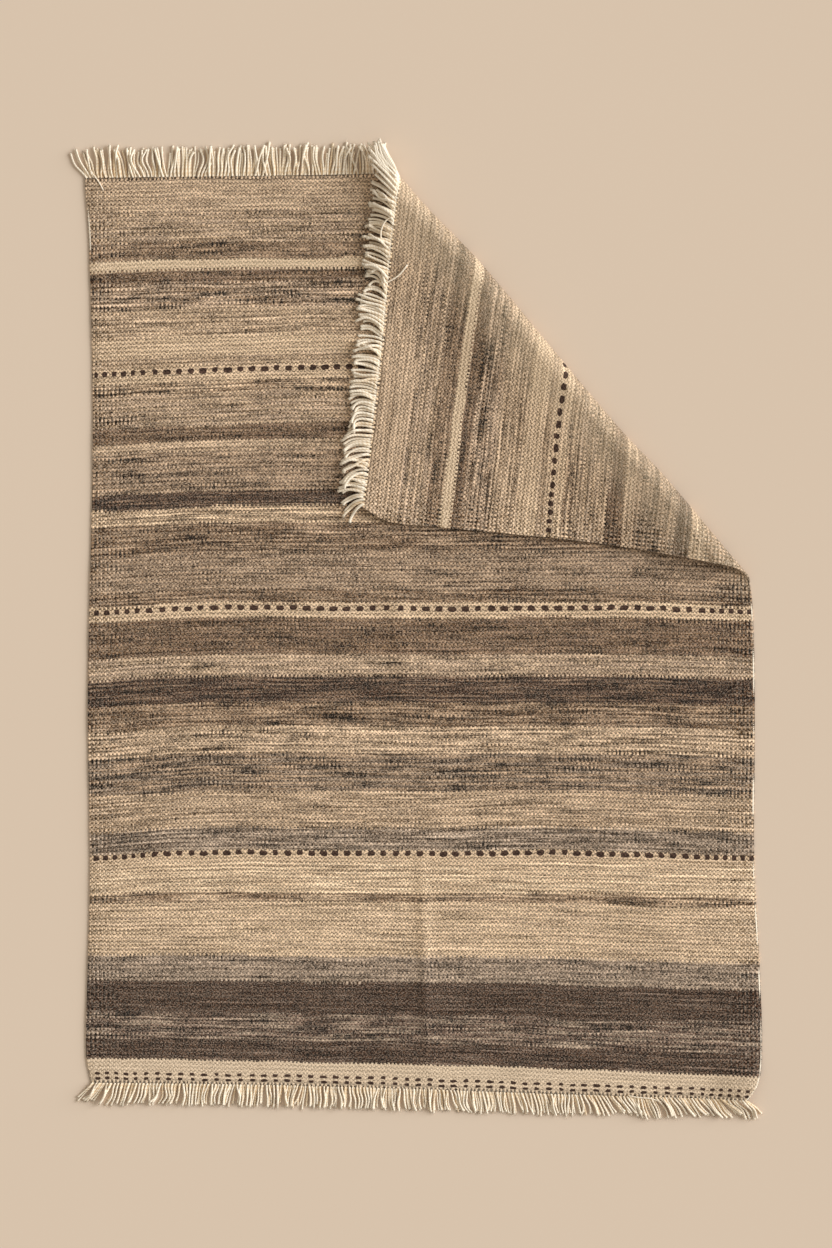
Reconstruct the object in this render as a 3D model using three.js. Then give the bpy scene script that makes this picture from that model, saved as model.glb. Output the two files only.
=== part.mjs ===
// Kilim rug. One woven cloth lies flat with its upper right corner folded over onto itself,
// and the warp ends stand out of both short ends as a fringe.
// Millimetres: X across the rug, Y along it, Z up, the floor at Z = 0.
// The cloth is laid out flat first, as u (across) and v (along), and place() then folds it.

import * as THREE from 'three';
import { mergeVertices } from 'three/addons/utils/BufferGeometryUtils.js';

// Driving dimensions
const clothThickness = 4;
const endStripWidth = 6;
const partingGap = 0.5;

// Woven outline of the flat cloth, each side a little uneven
const leftSide = [
  { v: -813, u: -594 },
  { v: -765, u: -603 },
  { v: -450, u: -599 },
  { v: -120, u: -600 },
  { v: 360, u: -591 },
  { v: 690, u: -600 },
  { v: 820, u: -606 },
];
const rightSide = [
  { v: -845, u: 588 },
  { v: -815, u: 608 },
  { v: -760, u: 615 },
  { v: -600, u: 610 },
  { v: -300, u: 600 },
  { v: 50, u: 599 },
  { v: 140, u: 589 },
  { v: 400, u: 583 },
  { v: 700, u: 591 },
  { v: 770, u: 592 },
  { v: 825, u: 570 },
];
const topEnd = [
  { u: -610, v: 818 },
  { u: -200, v: 823 },
  { u: 80, v: 828 },
  { u: 300, v: 822 },
  { u: 600, v: 820 },
];
const bottomEnd = [
  { u: -610, v: -813 },
  { u: -300, v: -817 },
  { u: 0, v: -825 },
  { u: 250, v: -834 },
  { u: 620, v: -845 },
];

// The fold: its line runs square to foldAngle, and the cloth lifts off at foldStart from the origin.
// Its turns add up to half a circle, and it comes down to 2 mm above the cloth beneath.
const foldAngle = THREE.MathUtils.degToRad(41.35);
const foldStart = 493;
const foldProfile = [
  { stretch: 'lift', length: 12, turn: 12 },
  { stretch: 'tight bend', length: 15, turn: 98 },
  { stretch: 'crown', length: 36, turn: 80 },
  { stretch: 'fall', length: 105, turn: 0 },
  { stretch: 'settle', length: 60, turn: -10 },
];
// How far the folded edge strays from a straight line, by distance along it
const foldWaves = [
  { along: -330, out: -4 },
  { along: -260, out: -3 },
  { along: -80, out: 1 },
  { along: 30, out: -3 },
  { along: 230, out: 1 },
  { along: 430, out: 6 },
  { along: 560, out: 0 },
  { along: 660, out: 0 },
];
const foldWaveCentre = 24;
const foldWaveReach = 170;

// Places where the cloth stands off what it lies on
const lifts = [
  { place: 'folded corner', u: 572, v: 820, reach: 110, rise: 8 },
  { place: 'folded side', u: 585, v: 480, reach: 200, rise: 6 },
  { place: 'folded end', u: 300, v: 822, reach: 150, rise: 3 },
  { place: 'lower right corner', u: 600, v: -842, reach: 95, rise: 14 },
];

// Fringe: strand sizes, and for each end its strands, their length and how they lean along it
const strandWidth = 3.2;
const strandTipWidth = 2.4;
const strandThickness = 2.8;
const strandPitch = 9.1;
const flatStrandSteps = 3;
const foldedStrandSteps = 5;
const strandDroop = THREE.MathUtils.degToRad(26);
const strandSteepest = THREE.MathUtils.degToRad(50);
const strandClearance = 0.4;
const leastUprightFace = 0.85;
const lengthSpread = 0.09;
const leanSpread = 1.1;
const leanWave = { degrees: 4, every: 97 };
const strandSeed = 41;
const topLength = 58;
const foldedLength = 50;
const bottomLength = 46;
const topLean = [
  { u: -606, lean: -24 },
  { u: -560, lean: -7 },
  { u: -450, lean: 1 },
  { u: -100, lean: 0 },
  { u: 100, lean: 0 },
];
const foldedLean = [
  { u: -100, lean: 0 },
  { u: 120, lean: 2 },
  { u: 330, lean: 7 },
  { u: 480, lean: 20 },
  { u: 540, lean: 34 },
  { u: 575, lean: 66 },
];
const bottomLean = [
  { u: -600, lean: -32 },
  { u: -540, lean: -15 },
  { u: -440, lean: -2 },
  { u: 100, lean: 1 },
  { u: 380, lean: 12 },
  { u: 540, lean: 25 },
  { u: 610, lean: 50 },
];

// How finely the surface is stepped, across the fold and along it
const rowStep = 40;
const pointStep = 24;
const pointsPerFlapStep = 2;
const endMargin = 8;
const shortestRow = 1;
const outlineSteps = { across: 80, along: 110 };
const bendStep = THREE.MathUtils.degToRad(13);
const solvingRounds = 20;
const weldTolerance = 1e-3;

const half = clothThickness / 2;
const outward = new THREE.Vector3(Math.cos(foldAngle), Math.sin(foldAngle), 0);
const alongFold = new THREE.Vector3(-Math.sin(foldAngle), Math.cos(foldAngle), 0);
const up = new THREE.Vector3(0, 0, 1);

// A smooth curve through a table's rows: the value of one column at a place in another
function through(rows, column, value, at) {
  const last = rows.length - 1;
  let i = 0;
  while (i < last - 1 && at > rows[i + 1][column]) i += 1;
  const slope = (j) => {
    const a = rows[Math.max(j - 1, 0)];
    const b = rows[Math.min(j + 1, last)];
    return (b[value] - a[value]) / (b[column] - a[column]);
  };
  const from = rows[i];
  const to = rows[i + 1];
  const width = to[column] - from[column];
  const x = THREE.MathUtils.clamp((at - from[column]) / width, 0, 1);
  const fromSlope = slope(i) * width;
  const toSlope = slope(i + 1) * width;
  return (1 + 2 * x) * (1 - x) ** 2 * from[value] + x * (1 - x) ** 2 * fromSlope
    + x * x * (3 - 2 * x) * to[value] + x * x * (x - 1) * toSlope;
}

const left = (v) => through(leftSide, 'v', 'u', v);
const right = (v) => through(rightSide, 'v', 'u', v);
const top = (u) => through(topEnd, 'u', 'v', u);
const bottom = (u) => through(bottomEnd, 'u', 'v', u);

// The fold's side view: how far out, how high and how far turned the cloth is after a length of it
const bends = [];
let foldEnd = { length: 0, out: 0, rise: 0, turn: 0 };
for (const row of foldProfile) {
  const bend = { ...foldEnd, curve: THREE.MathUtils.degToRad(row.turn) / row.length };
  bends.push(bend);
  foldEnd = { length: bend.length + row.length, ...bendAt(bend, row.length) };
}

function bendAt(bend, length) {
  const turn = bend.turn + bend.curve * length;
  if (bend.curve === 0) {
    return {
      out: bend.out + length * Math.cos(turn),
      rise: bend.rise + length * Math.sin(turn),
      turn,
    };
  }
  return {
    out: bend.out + (Math.sin(turn) - Math.sin(bend.turn)) / bend.curve,
    rise: bend.rise + (Math.cos(bend.turn) - Math.cos(turn)) / bend.curve,
    turn,
  };
}

function foldAt(length) {
  if (length <= 0) return { out: length, rise: 0, turn: 0 };
  if (length >= foldEnd.length) {
    return { out: foldEnd.out + foldEnd.length - length, rise: foldEnd.rise, turn: foldEnd.turn };
  }
  const bend = bends.findLast((each) => each.length <= length);
  return bendAt(bend, length - bend.length);
}

const distanceOut = (u, v) => u * outward.x + v * outward.y - foldStart;
const distanceAlong = (u, v) => u * alongFold.x + v * alongFold.y;
const fade = (x) => 0.5 + 0.5 * Math.cos(Math.PI * THREE.MathUtils.clamp(Math.abs(x), 0, 1));

// Where a point of the flat cloth comes to lie, off the middle of its thickness by offset
function place(u, v, offset) {
  const length = distanceOut(u, v);
  const along = distanceAlong(u, v);
  const fold = foldAt(length);
  const wave = through(foldWaves, 'along', 'out', along) * fade((length - foldWaveCentre) / foldWaveReach);
  const out = foldStart + fold.out + wave - offset * Math.sin(fold.turn);
  let height = half + fold.rise + offset * Math.cos(fold.turn);
  for (const lift of lifts) height += lift.rise * fade(Math.hypot(u - lift.u, v - lift.v) / lift.reach);
  return new THREE.Vector3()
    .addScaledVector(outward, out)
    .addScaledVector(alongFold, along)
    .addScaledVector(up, height);
}

// A direction in the flat cloth, and the cloth's own face, as they point once folded
function directionAt(u, v, du, dv) {
  const { turn } = foldAt(distanceOut(u, v));
  const across = du * outward.x + dv * outward.y;
  return new THREE.Vector3()
    .addScaledVector(outward, across * Math.cos(turn))
    .addScaledVector(up, across * Math.sin(turn))
    .addScaledVector(alongFold, du * alongFold.x + dv * alongFold.y)
    .normalize();
}

function faceAt(u, v) {
  const { turn } = foldAt(distanceOut(u, v));
  return new THREE.Vector3().addScaledVector(outward, -Math.sin(turn)).addScaledVector(up, Math.cos(turn));
}

// Facets are gathered as corners in threes, then welded into one closed skin
function triangle(skin, a, b, c) {
  skin.push(a, b, c);
}

function quad(skin, a, b, c, d) {
  triangle(skin, a, b, c);
  triangle(skin, a, c, d);
}

function weld(skin) {
  return mergeVertices(new THREE.BufferGeometry().setFromPoints(skin), weldTolerance);
}

// The corner where a side of the flat cloth meets a line that runs that far in from one end
function corner(side, end, inset) {
  let v = end(0);
  for (let i = 0; i < solvingRounds; i += 1) v = end(side(v)) + inset;
  return { u: side(v), v };
}

// The cloth between its two end strips, as a flat outline
const stripInset = endStripWidth + partingGap;
const corners = {
  bottomLeft: corner(left, bottom, stripInset),
  bottomRight: corner(right, bottom, stripInset),
  topRight: corner(right, top, -stripInset),
  topLeft: corner(left, top, -stripInset),
};

function clothOutline() {
  const { bottomLeft, bottomRight, topRight, topLeft } = corners;
  const outline = [];
  const side = (steps, from, to, point) => {
    for (let i = 0; i < steps; i += 1) outline.push(point(THREE.MathUtils.lerp(from, to, i / steps)));
  };
  side(outlineSteps.across, bottomLeft.u, bottomRight.u, (u) => ({ u, v: bottom(u) + stripInset }));
  side(outlineSteps.along, bottomRight.v, topRight.v, (v) => ({ u: right(v), v }));
  side(outlineSteps.across, topRight.u, topLeft.u, (u) => ({ u, v: top(u) - stripInset }));
  side(outlineSteps.along, topLeft.v, bottomLeft.v, (v) => ({ u: left(v), v }));
  return outline;
}

// Where a line parallel to the fold enters and leaves the outline
function spanAt(outline, length) {
  const hits = [];
  outline.forEach((point, i) => {
    const following = outline[(i + 1) % outline.length];
    const here = distanceOut(point.u, point.v) - length;
    const next = distanceOut(following.u, following.v) - length;
    if (here * next > 0 || here === next) return;
    const share = here / (here - next);
    const u = THREE.MathUtils.lerp(point.u, following.u, share);
    const v = THREE.MathUtils.lerp(point.v, following.v, share);
    hits.push(distanceAlong(u, v));
  });
  return [Math.min(...hits), Math.max(...hits)];
}

// Rows of the cloth run parallel to the fold, close together where it bends, with one at each corner
function rowLengths(outline) {
  const lengths = outline.map(({ u, v }) => distanceOut(u, v));
  const first = Math.min(...lengths);
  const last = Math.max(...lengths);
  const sideCorners = [corners.topLeft, corners.bottomRight].map(({ u, v }) => distanceOut(u, v));
  const stretches = [];
  let from = first;
  for (const to of [...sideCorners.sort((a, b) => a - b), 0]) {
    stretches.push({ from, to, turn: 0 });
    from = to;
  }
  for (const { length, turn } of foldProfile) {
    stretches.push({ from, to: from + length, turn });
    from += length;
  }
  stretches.push({ from, to: last, turn: 0 });
  const rows = [first];
  for (const stretch of stretches) {
    const turnSteps = Math.abs(THREE.MathUtils.degToRad(stretch.turn)) / bendStep;
    const steps = Math.ceil(Math.max(turnSteps, (stretch.to - stretch.from) / rowStep));
    for (let i = 1; i <= steps; i += 1) {
      rows.push(THREE.MathUtils.lerp(stretch.from, stretch.to, i / steps));
    }
  }
  return rows;
}

// A flat row needs only its two ends, and a folded or lifted one has points between them
function rowPoints(outline, length) {
  const [from, to] = spanAt(outline, length);
  const pointAt = (along) => {
    const u = (length + foldStart) * outward.x + along * alongFold.x;
    const v = (length + foldStart) * outward.y + along * alongFold.y;
    return { u, v };
  };
  const points = [pointAt(from)];
  for (let i = Math.ceil((from + endMargin) / pointStep); i * pointStep < to - endMargin; i += 1) {
    const point = pointAt(i * pointStep);
    const away = (lift) => Math.hypot(point.u - lift.u, point.v - lift.v) - lift.reach;
    const lifted = lifts.some((lift) => away(lift) < pointStep);
    if (lifted || (length >= 0 && i % pointsPerFlapStep === 0)) points.push(point);
  }
  if (to - from > shortestRow) points.push(pointAt(to));
  return points;
}

function cloth() {
  const outline = clothOutline();
  const rows = rowLengths(outline)
    .map((length) => rowPoints(outline, length))
    .map((row) => row.map(({ u, v }) => ({ face: place(u, v, half), back: place(u, v, -half) })));
  const skin = [];
  for (let i = 0; i + 1 < rows.length; i += 1) {
    const near = rows[i];
    const far = rows[i + 1];
    let a = 0;
    let b = 0;
    while (a < near.length - 1 || b < far.length - 1) {
      const stepNear = a < near.length - 1
        ? near[a + 1].face.distanceTo(far[b].face) : Infinity;
      const stepFar = b < far.length - 1
        ? far[b + 1].face.distanceTo(near[a].face) : Infinity;
      if (stepNear < stepFar) {
        triangle(skin, near[a].face, far[b].face, near[a + 1].face);
        triangle(skin, near[a].back, near[a + 1].back, far[b].back);
        a += 1;
      } else {
        triangle(skin, near[a].face, far[b].face, far[b + 1].face);
        triangle(skin, near[a].back, far[b + 1].back, far[b].back);
        b += 1;
      }
    }
    quad(skin, near[0].face, near[0].back, far[0].back, far[0].face);
    quad(skin, near.at(-1).face, far.at(-1).face, far.at(-1).back, near.at(-1).back);
  }
  return weld(skin);
}

// The path of one strand: out of the cloth as it points there, drooping, then level on what it meets
function strandPath(root, heading, length, steps, restHeight) {
  const plan = new THREE.Vector3(heading.x, heading.y, 0).normalize();
  const lowest = restHeight + strandThickness / 2;
  const step = length / steps;
  let pitch = Math.asin(heading.z);
  const path = [root];
  for (let i = 0; i < steps; i += 1) {
    const rise = Math.max(step * Math.sin(pitch), lowest - path[i].z);
    const reach = Math.sqrt(step * step - rise * rise);
    path.push(path[i].clone().addScaledVector(plan, reach).addScaledVector(up, rise));
    pitch = Math.max(pitch - strandDroop, -strandSteepest);
  }
  return path;
}

// One end's fringe: a narrow woven strip along the cloth, with the strands growing out of it
function fringe({ end, side, from, to, ...style }) {
  const skin = [];
  const count = Math.floor(Math.abs(to - from) / strandPitch);
  const pitch = (to - from) / count;
  const width = strandWidth * Math.sign(pitch);
  const rings = (u) => {
    const ring = (v) => ({ face: place(u, v, half), back: place(u, v, -half) });
    return { u, inner: ring(end(u) - side * endStripWidth), outer: ring(end(u)) };
  };
  const cell = (near, far, open) => {
    quad(skin, near.inner.face, far.inner.face, far.outer.face, near.outer.face);
    quad(skin, near.inner.back, near.outer.back, far.outer.back, far.inner.back);
    quad(skin, near.inner.face, near.inner.back, far.inner.back, far.inner.face);
    if (!open) quad(skin, near.outer.face, far.outer.face, far.outer.back, near.outer.back);
  };
  const plain = (near, toU) => {
    const turned = foldAt(distanceOut(toU, end(toU))).turn - foldAt(distanceOut(near.u, end(near.u))).turn;
    const steps = Math.max(1, Math.ceil(Math.abs(turned) / bendStep));
    const fromU = near.u;
    for (let i = 1; i <= steps; i += 1) {
      const far = rings(THREE.MathUtils.lerp(fromU, toU, i / steps));
      cell(near, far, false);
      near = far;
    }
    return near;
  };
  const first = rings(from);
  quad(skin, first.inner.face, first.outer.face, first.outer.back, first.inner.back);
  let near = first;
  for (let i = 0; i < count; i += 1) {
    const rootStart = from + (i + 0.5) * pitch - width / 2;
    near = plain(near, rootStart);
    const far = rings(rootStart + width);
    cell(near, far, true);
    strand(skin, { u: rootStart + width / 2, end, side, ...style }, near.outer, far.outer);
    near = far;
  }
  near = plain(near, to);
  quad(skin, near.inner.face, near.inner.back, near.outer.back, near.outer.face);
  return weld(skin);
}

function strand(skin, { u, end, side, length, steps, leans, restAt }, leftRing, rightRing) {
  const random = () => 2 * THREE.MathUtils.seededRandom() - 1;
  const wave = leanWave.degrees * Math.sin(2 * Math.PI * u / leanWave.every);
  const lean = THREE.MathUtils.degToRad(through(leans, 'u', 'lean', u) + wave + leanSpread * random());
  const ownLength = length * (1 + lengthSpread * random());
  const rootCorners = [leftRing.back, rightRing.back, rightRing.face, leftRing.face];
  const root = new THREE.Vector3();
  for (const each of rootCorners) root.add(each);
  root.divideScalar(rootCorners.length);
  const heading = directionAt(u, end(u), Math.sin(lean), side * Math.cos(lean));
  const rootFace = faceAt(u, end(u));
  const restFace = up.clone().multiplyScalar(rootFace.z < 0 ? -1 : 1);
  const path = strandPath(root, heading, ownLength, steps, restAt(rootFace));
  let section = rootCorners;
  for (let i = 1; i < path.length; i += 1) {
    const ahead = path[Math.min(i + 1, path.length - 1)];
    const along = ahead.clone().sub(path[i - 1]).normalize();
    const face = i === 1 ? rootFace.clone().add(restFace) : restFace.clone();
    face.addScaledVector(along, -face.dot(along)).normalize();
    const across = along.clone().cross(face);
    const halfWidth = THREE.MathUtils.lerp(strandWidth, strandTipWidth, i / steps) / 2;
    const edge = (sideways, height) => path[i].clone()
      .addScaledVector(across, sideways * halfWidth)
      .addScaledVector(face, height * strandThickness / 2);
    const next = [edge(-1, -1), edge(1, -1), edge(1, 1), edge(-1, 1)];
    for (let j = 0; j < 4; j += 1) {
      const k = (j + 1) % 4;
      quad(skin, section[j], next[j], next[k], section[k]);
    }
    section = next;
  }
  quad(skin, ...section.reverse());
}

// The top end is one edge of the cloth, parted where the fold begins to lift it
function foldCrossing() {
  let u = 0;
  for (let i = 0; i < solvingRounds; i += 1) u = (foldStart - top(u) * outward.y) / outward.x;
  return u;
}

THREE.MathUtils.seededRandom(strandSeed);
const crossing = foldCrossing();
const clothTop = clothThickness + strandClearance;
const pieces = [
  { name: 'cloth', color: '#8b7a66', geometry: cloth() },
  {
    name: 'fringe_top',
    color: '#efe6d3',
    geometry: fringe({
      end: top,
      side: 1,
      from: corner(left, top, 0).u,
      to: crossing - partingGap / 2,
      length: topLength,
      steps: flatStrandSteps,
      leans: topLean,
      restAt: () => 0,
    }),
  },
  {
    name: 'fringe_folded',
    color: '#efe6d3',
    geometry: fringe({
      end: top,
      side: 1,
      from: crossing + partingGap / 2,
      to: corner(right, top, 0).u,
      length: foldedLength,
      steps: foldedStrandSteps,
      leans: foldedLean,
      restAt: (face) => (face.z > leastUprightFace ? 0 : clothTop),
    }),
  },
  {
    name: 'fringe_bottom',
    color: '#efe6d3',
    geometry: fringe({
      end: bottom,
      side: -1,
      from: corner(right, bottom, 0).u,
      to: corner(left, bottom, 0).u,
      length: bottomLength,
      steps: flatStrandSteps,
      leans: bottomLean,
      restAt: () => 0,
    }),
  },
];

const rug = new THREE.Group();
for (const { name, color, geometry } of pieces) {
  const material = new THREE.MeshStandardMaterial({ color, roughness: 0.95, metalness: 0 });
  const mesh = new THREE.Mesh(geometry, material);
  mesh.name = name;
  rug.add(mesh);
}
const bounds = new THREE.Box3().setFromObject(rug);
const centre = bounds.getCenter(new THREE.Vector3());
rug.position.set(-centre.x, -centre.y, -bounds.min.z);
rug.updateMatrixWorld(true);

export default rug;
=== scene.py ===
# Kilim rug: one woven cloth with its upper right corner folded over, its side edges and its fringes.
# The cloth is laid out flat first, as u (across) and v (along) in millimetres, and place() folds it
# into the frame. A piece that is woven or rooted in the cloth is made flat and goes through place().

import math
from collections import namedtuple

import bmesh
import bpy
import numpy as np
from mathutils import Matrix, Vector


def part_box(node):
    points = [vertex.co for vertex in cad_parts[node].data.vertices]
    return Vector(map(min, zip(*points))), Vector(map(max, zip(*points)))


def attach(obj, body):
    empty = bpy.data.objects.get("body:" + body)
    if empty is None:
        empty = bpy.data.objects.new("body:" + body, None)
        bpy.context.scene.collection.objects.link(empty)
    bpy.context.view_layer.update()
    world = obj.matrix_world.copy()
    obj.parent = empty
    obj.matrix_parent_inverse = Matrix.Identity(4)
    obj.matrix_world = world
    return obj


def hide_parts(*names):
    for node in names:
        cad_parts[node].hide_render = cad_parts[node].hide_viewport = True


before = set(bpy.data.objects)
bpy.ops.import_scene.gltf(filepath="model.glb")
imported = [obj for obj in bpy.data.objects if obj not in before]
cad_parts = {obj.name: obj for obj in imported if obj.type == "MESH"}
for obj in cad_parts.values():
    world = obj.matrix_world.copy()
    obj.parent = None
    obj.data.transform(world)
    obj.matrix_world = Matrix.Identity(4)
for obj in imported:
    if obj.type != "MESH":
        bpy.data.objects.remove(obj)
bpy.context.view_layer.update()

bl_info = {
    "name": "Kilim Rug",
    "version": (1, 0, 0),
    "blender": (4, 5, 0),
    "location": "View3D > Sidebar > Kilim Rug",
    "description": "A striped flat-woven rug with one corner folded over and a fringe at both ends",
    "category": "Add Mesh",
}

MM = 0.001

# Outline of the flat cloth, each side a little uneven
Side = namedtuple("Side", "v u")
End = namedtuple("End", "u v")
LEFT_SIDE = [
    Side(v=-813, u=-594),
    Side(v=-765, u=-603),
    Side(v=-600, u=-600),
    Side(v=-430, u=-596),
    Side(v=-120, u=-600),
    Side(v=360, u=-591),
    Side(v=690, u=-597.5),
    Side(v=820, u=-606),
]
RIGHT_SIDE = [
    Side(v=-845, u=588),
    Side(v=-815, u=608),
    Side(v=-760, u=616),
    Side(v=-600, u=611.5),
    Side(v=-412, u=602),
    Side(v=-232, u=602.5),
    Side(v=40, u=602),
    Side(v=140, u=591),
    Side(v=400, u=583),
    Side(v=700, u=591),
    Side(v=770, u=592),
    Side(v=825, u=570),
]
TOP_END = [
    End(u=-610, v=818),
    End(u=-200, v=823),
    End(u=80, v=828),
    End(u=300, v=822),
    End(u=600, v=820),
]
BOTTOM_END = [
    End(u=-610, v=-813),
    End(u=-300, v=-817),
    End(u=0, v=-825),
    End(u=250, v=-834),
    End(u=620, v=-845),
]
CLOTH_THICKNESS = 4
END_STRIP = 6.5
SOLVING_ROUNDS = 20
SIDE_SAMPLES = 400

# The fold: its angle, where the cloth lifts off, and the turn that each stretch of it makes
FOLD_ANGLE = math.radians(41.35)
FOLD_START = 493
Bend = namedtuple("Bend", "stretch length turn")
FOLD_PROFILE = [
    Bend("lift", length=12, turn=12),
    Bend("tight bend", length=15, turn=98),
    Bend("crown", length=36, turn=80),
    Bend("fall", length=105, turn=0),
    Bend("settle", length=60, turn=-10),
]
Wave = namedtuple("Wave", "along out")
FOLD_WAVES = [
    Wave(along=-330, out=-4),
    Wave(along=-260, out=-3),
    Wave(along=-80, out=1),
    Wave(along=30, out=-3),
    Wave(along=230, out=1),
    Wave(along=430, out=6),
    Wave(along=560, out=0),
    Wave(along=660, out=0),
]
FOLD_WAVE_CENTRE = 24
FOLD_WAVE_REACH = 170
OUTWARD = np.array([math.cos(FOLD_ANGLE), math.sin(FOLD_ANGLE), 0])
ALONG_FOLD = np.array([-math.sin(FOLD_ANGLE), math.cos(FOLD_ANGLE), 0])
UP = np.array([0, 0, 1])

# Places where the cloth stands off what it lies on
Lift = namedtuple("Lift", "place u v reach rise")
LIFTS = [
    Lift("folded corner", u=572, v=820, reach=110, rise=8),
    Lift("folded side", u=585, v=480, reach=200, rise=3.5),
    Lift("folded end", u=300, v=822, reach=150, rise=3),
    Lift("lower right corner", u=600, v=-842, reach=95, rise=14),
]

# Soft creases where the rug was once folded lengthwise, each from a lower to an upper place: a
# ridge stands up, a trough is pressed in
Crease = namedtuple("Crease", "lower upper start end width rise")
CREASES = [
    Crease(lower=-18, upper=-60, start=-200, end=230, width=32, rise=2.4),
    Crease(lower=-2, upper=-10, start=-430, end=-190, width=26, rise=-1.4),
    Crease(lower=16, upper=0, start=-820, end=-350, width=19, rise=4.0),
]

# How far a line of weft strays from straight at seven places across, at seven heights of the rug
WEFT_STATIONS = (-600, -400, -235, 0, 200, 400, 590)
WeftLine = namedtuple("WeftLine", "v strays")
WEFT_LINES = [
    WeftLine(v=-818, strays=(5, 2, 0, -7, -14, -20, -27)),
    WeftLine(v=-632, strays=(4, 2, 0, -2, -5, -11, -14)),
    WeftLine(v=-399, strays=(-12, 0, 0, -2, 0, -4, -10)),
    WeftLine(v=41, strays=(-11, 0, 1, -1, 0, 0, -5)),
    WeftLine(v=478, strays=(-14, -7, 0, 2, 9, 12, 6)),
    WeftLine(v=668, strays=(-7, -2, 0, 3, 6, 6, 5)),
    WeftLine(v=820, strays=(-5, -1, 0, 4, 2, 0, -2)),
]
FIRST_WEFT = 826

# The stripes that stand out, from the top end down: each one's length, its ground yarn, the yarn
# that flecks it, and the fleck's share
Band = namedtuple("Band", "length ground fleck share")
BANDS = [
    Band(65, "sand", "oat", 0.25),
    Band(55, "oat", "mushroom", 0.45),
    Band(28, "taupe", "umber", 0.45),
    Band(20, "cream", "camel", 0.05),
    Band(20, "umber", "walnut", 0.40),
    Band(45, "taupe", "mushroom", 0.60),
    Band(52, "oat", "sand", 0.35),
    Band(35, "camel", "sand", 0.20),
    Band(18, "oat", "mushroom", 0.30),
    Band(27, "camel", "sand", 0.30),
    Band(20, "taupe", "oat", 0.50),
    Band(65, "oat", "mushroom", 0.45),
    Band(22, "umber", "walnut", 0.40),
    Band(20, "sand", "oat", 0.35),
    Band(78, "mushroom", "taupe", 0.50),
    Band(25, "charcoal", "walnut", 0.30),
    Band(30, "oat", "camel", 0.40),
    Band(55, "umber", "taupe", 0.45),
    Band(65, "mushroom", "taupe", 0.40),
    Band(25, "umber", "taupe", 0.40),
    Band(27, "camel", "sand", 0.25),
    Band(68, "umber", "walnut", 0.40),
    Band(40, "sand", "mushroom", 0.50),
    Band(45, "charcoal", "walnut", 0.35),
    Band(45, "umber", "taupe", 0.45),
    Band(50, "oat", "sand", 0.50),
    Band(65, "slate", "taupe", 0.50),
    Band(68, "oat", "sand", 0.35),
    Band(38, "slate", "stone", 0.40),
    Band(24, "camel", "sand", 0.15),
    Band(56, "camel", "cream", 0.30),
    Band(16, "taupe", "oat", 0.40),
    Band(98, "camel", "sand", 0.35),
    Band(48, "stone", "slate", 0.45),
    Band(54, "charcoal", "graphite", 0.12),
    Band(53, "graphite", "slate", 0.40),
    Band(35, "charcoal", "graphite", 0.20),
    Band(55, "ecru", "cream", 0.05),
]

# Rows of small dark dots, and the two rows of dashes at the bottom end
DotRow = namedtuple("DotRow", "down pitch width height phase")
DOT_ROWS = [
    DotRow(down=350, pitch=22.0, width=12.5, height=10.0, phase=0.30),
    DotRow(down=784, pitch=23.8, width=13.5, height=9.0, phase=0.10),
    DotRow(down=1225, pitch=21.7, width=12.5, height=9.6, phase=0.55),
    DotRow(down=1627.5, pitch=21.4, width=10.4, height=5.2, phase=0.70),
    DotRow(down=1636.5, pitch=21.4, width=10.0, height=5.2, phase=0.68),
]

# Where the fringe yarns point, seen from above in degrees from straight up or down the rug, and
# how long they are, how loosely they stray and how soon they droop, by where they leave the cloth
Lean = namedtuple("Lean", "u lean length loose droop", defaults=[1.0, 1.0])
TOP_LEAN = [
    Lean(u=-606, lean=26, length=1.0),
    Lean(u=-560, lean=7, length=1.0),
    Lean(u=-450, lean=-1, length=1.0),
    Lean(u=-150, lean=0, length=1.0),
    Lean(u=-60, lean=6, length=1.0),
]
FOLDED_LEAN = [
    Lean(u=-68, lean=12, length=0.8, loose=0.3, droop=0.07),
    Lean(u=-45, lean=19, length=0.9, loose=0.3, droop=0.07),
    Lean(u=-33, lean=32, length=1.02, loose=0.25, droop=0.07),
    Lean(u=-22, lean=41, length=1.12, loose=0.25, droop=0.07),
    Lean(u=-8, lean=46, length=1.1, loose=0.25, droop=0.1),
    Lean(u=8, lean=50, length=1.0, loose=0.4, droop=0.2),
    Lean(u=22, lean=60, length=0.98, loose=0.8, droop=0.4),
    Lean(u=60, lean=62, length=1.0, droop=0.5),
    Lean(u=150, lean=60, length=1.0, droop=0.5),
    Lean(u=236, lean=66, length=1.02, droop=0.6),
    Lean(u=300, lean=74, length=1.0, droop=0.7),
    Lean(u=400, lean=80, length=1.0, droop=0.7),
    Lean(u=470, lean=92, length=1.05, droop=0.7),
    Lean(u=540, lean=106, length=1.0),
    Lean(u=575, lean=150, length=0.9),
]
BOTTOM_LEAN = [
    Lean(u=-600, lean=-40, length=1.15),
    Lean(u=-540, lean=-25, length=1.05),
    Lean(u=-440, lean=-15, length=1.0),
    Lean(u=-300, lean=-8, length=1.0),
    Lean(u=-60, lean=3, length=1.0),
    Lean(u=100, lean=11, length=1.0),
    Lean(u=250, lean=20, length=1.0),
    Lean(u=380, lean=29, length=1.05),
    Lean(u=540, lean=38, length=1.12),
    Lean(u=590, lean=47, length=1.15),
    Lean(u=610, lean=66, length=1.25, loose=1.6),
]

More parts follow.
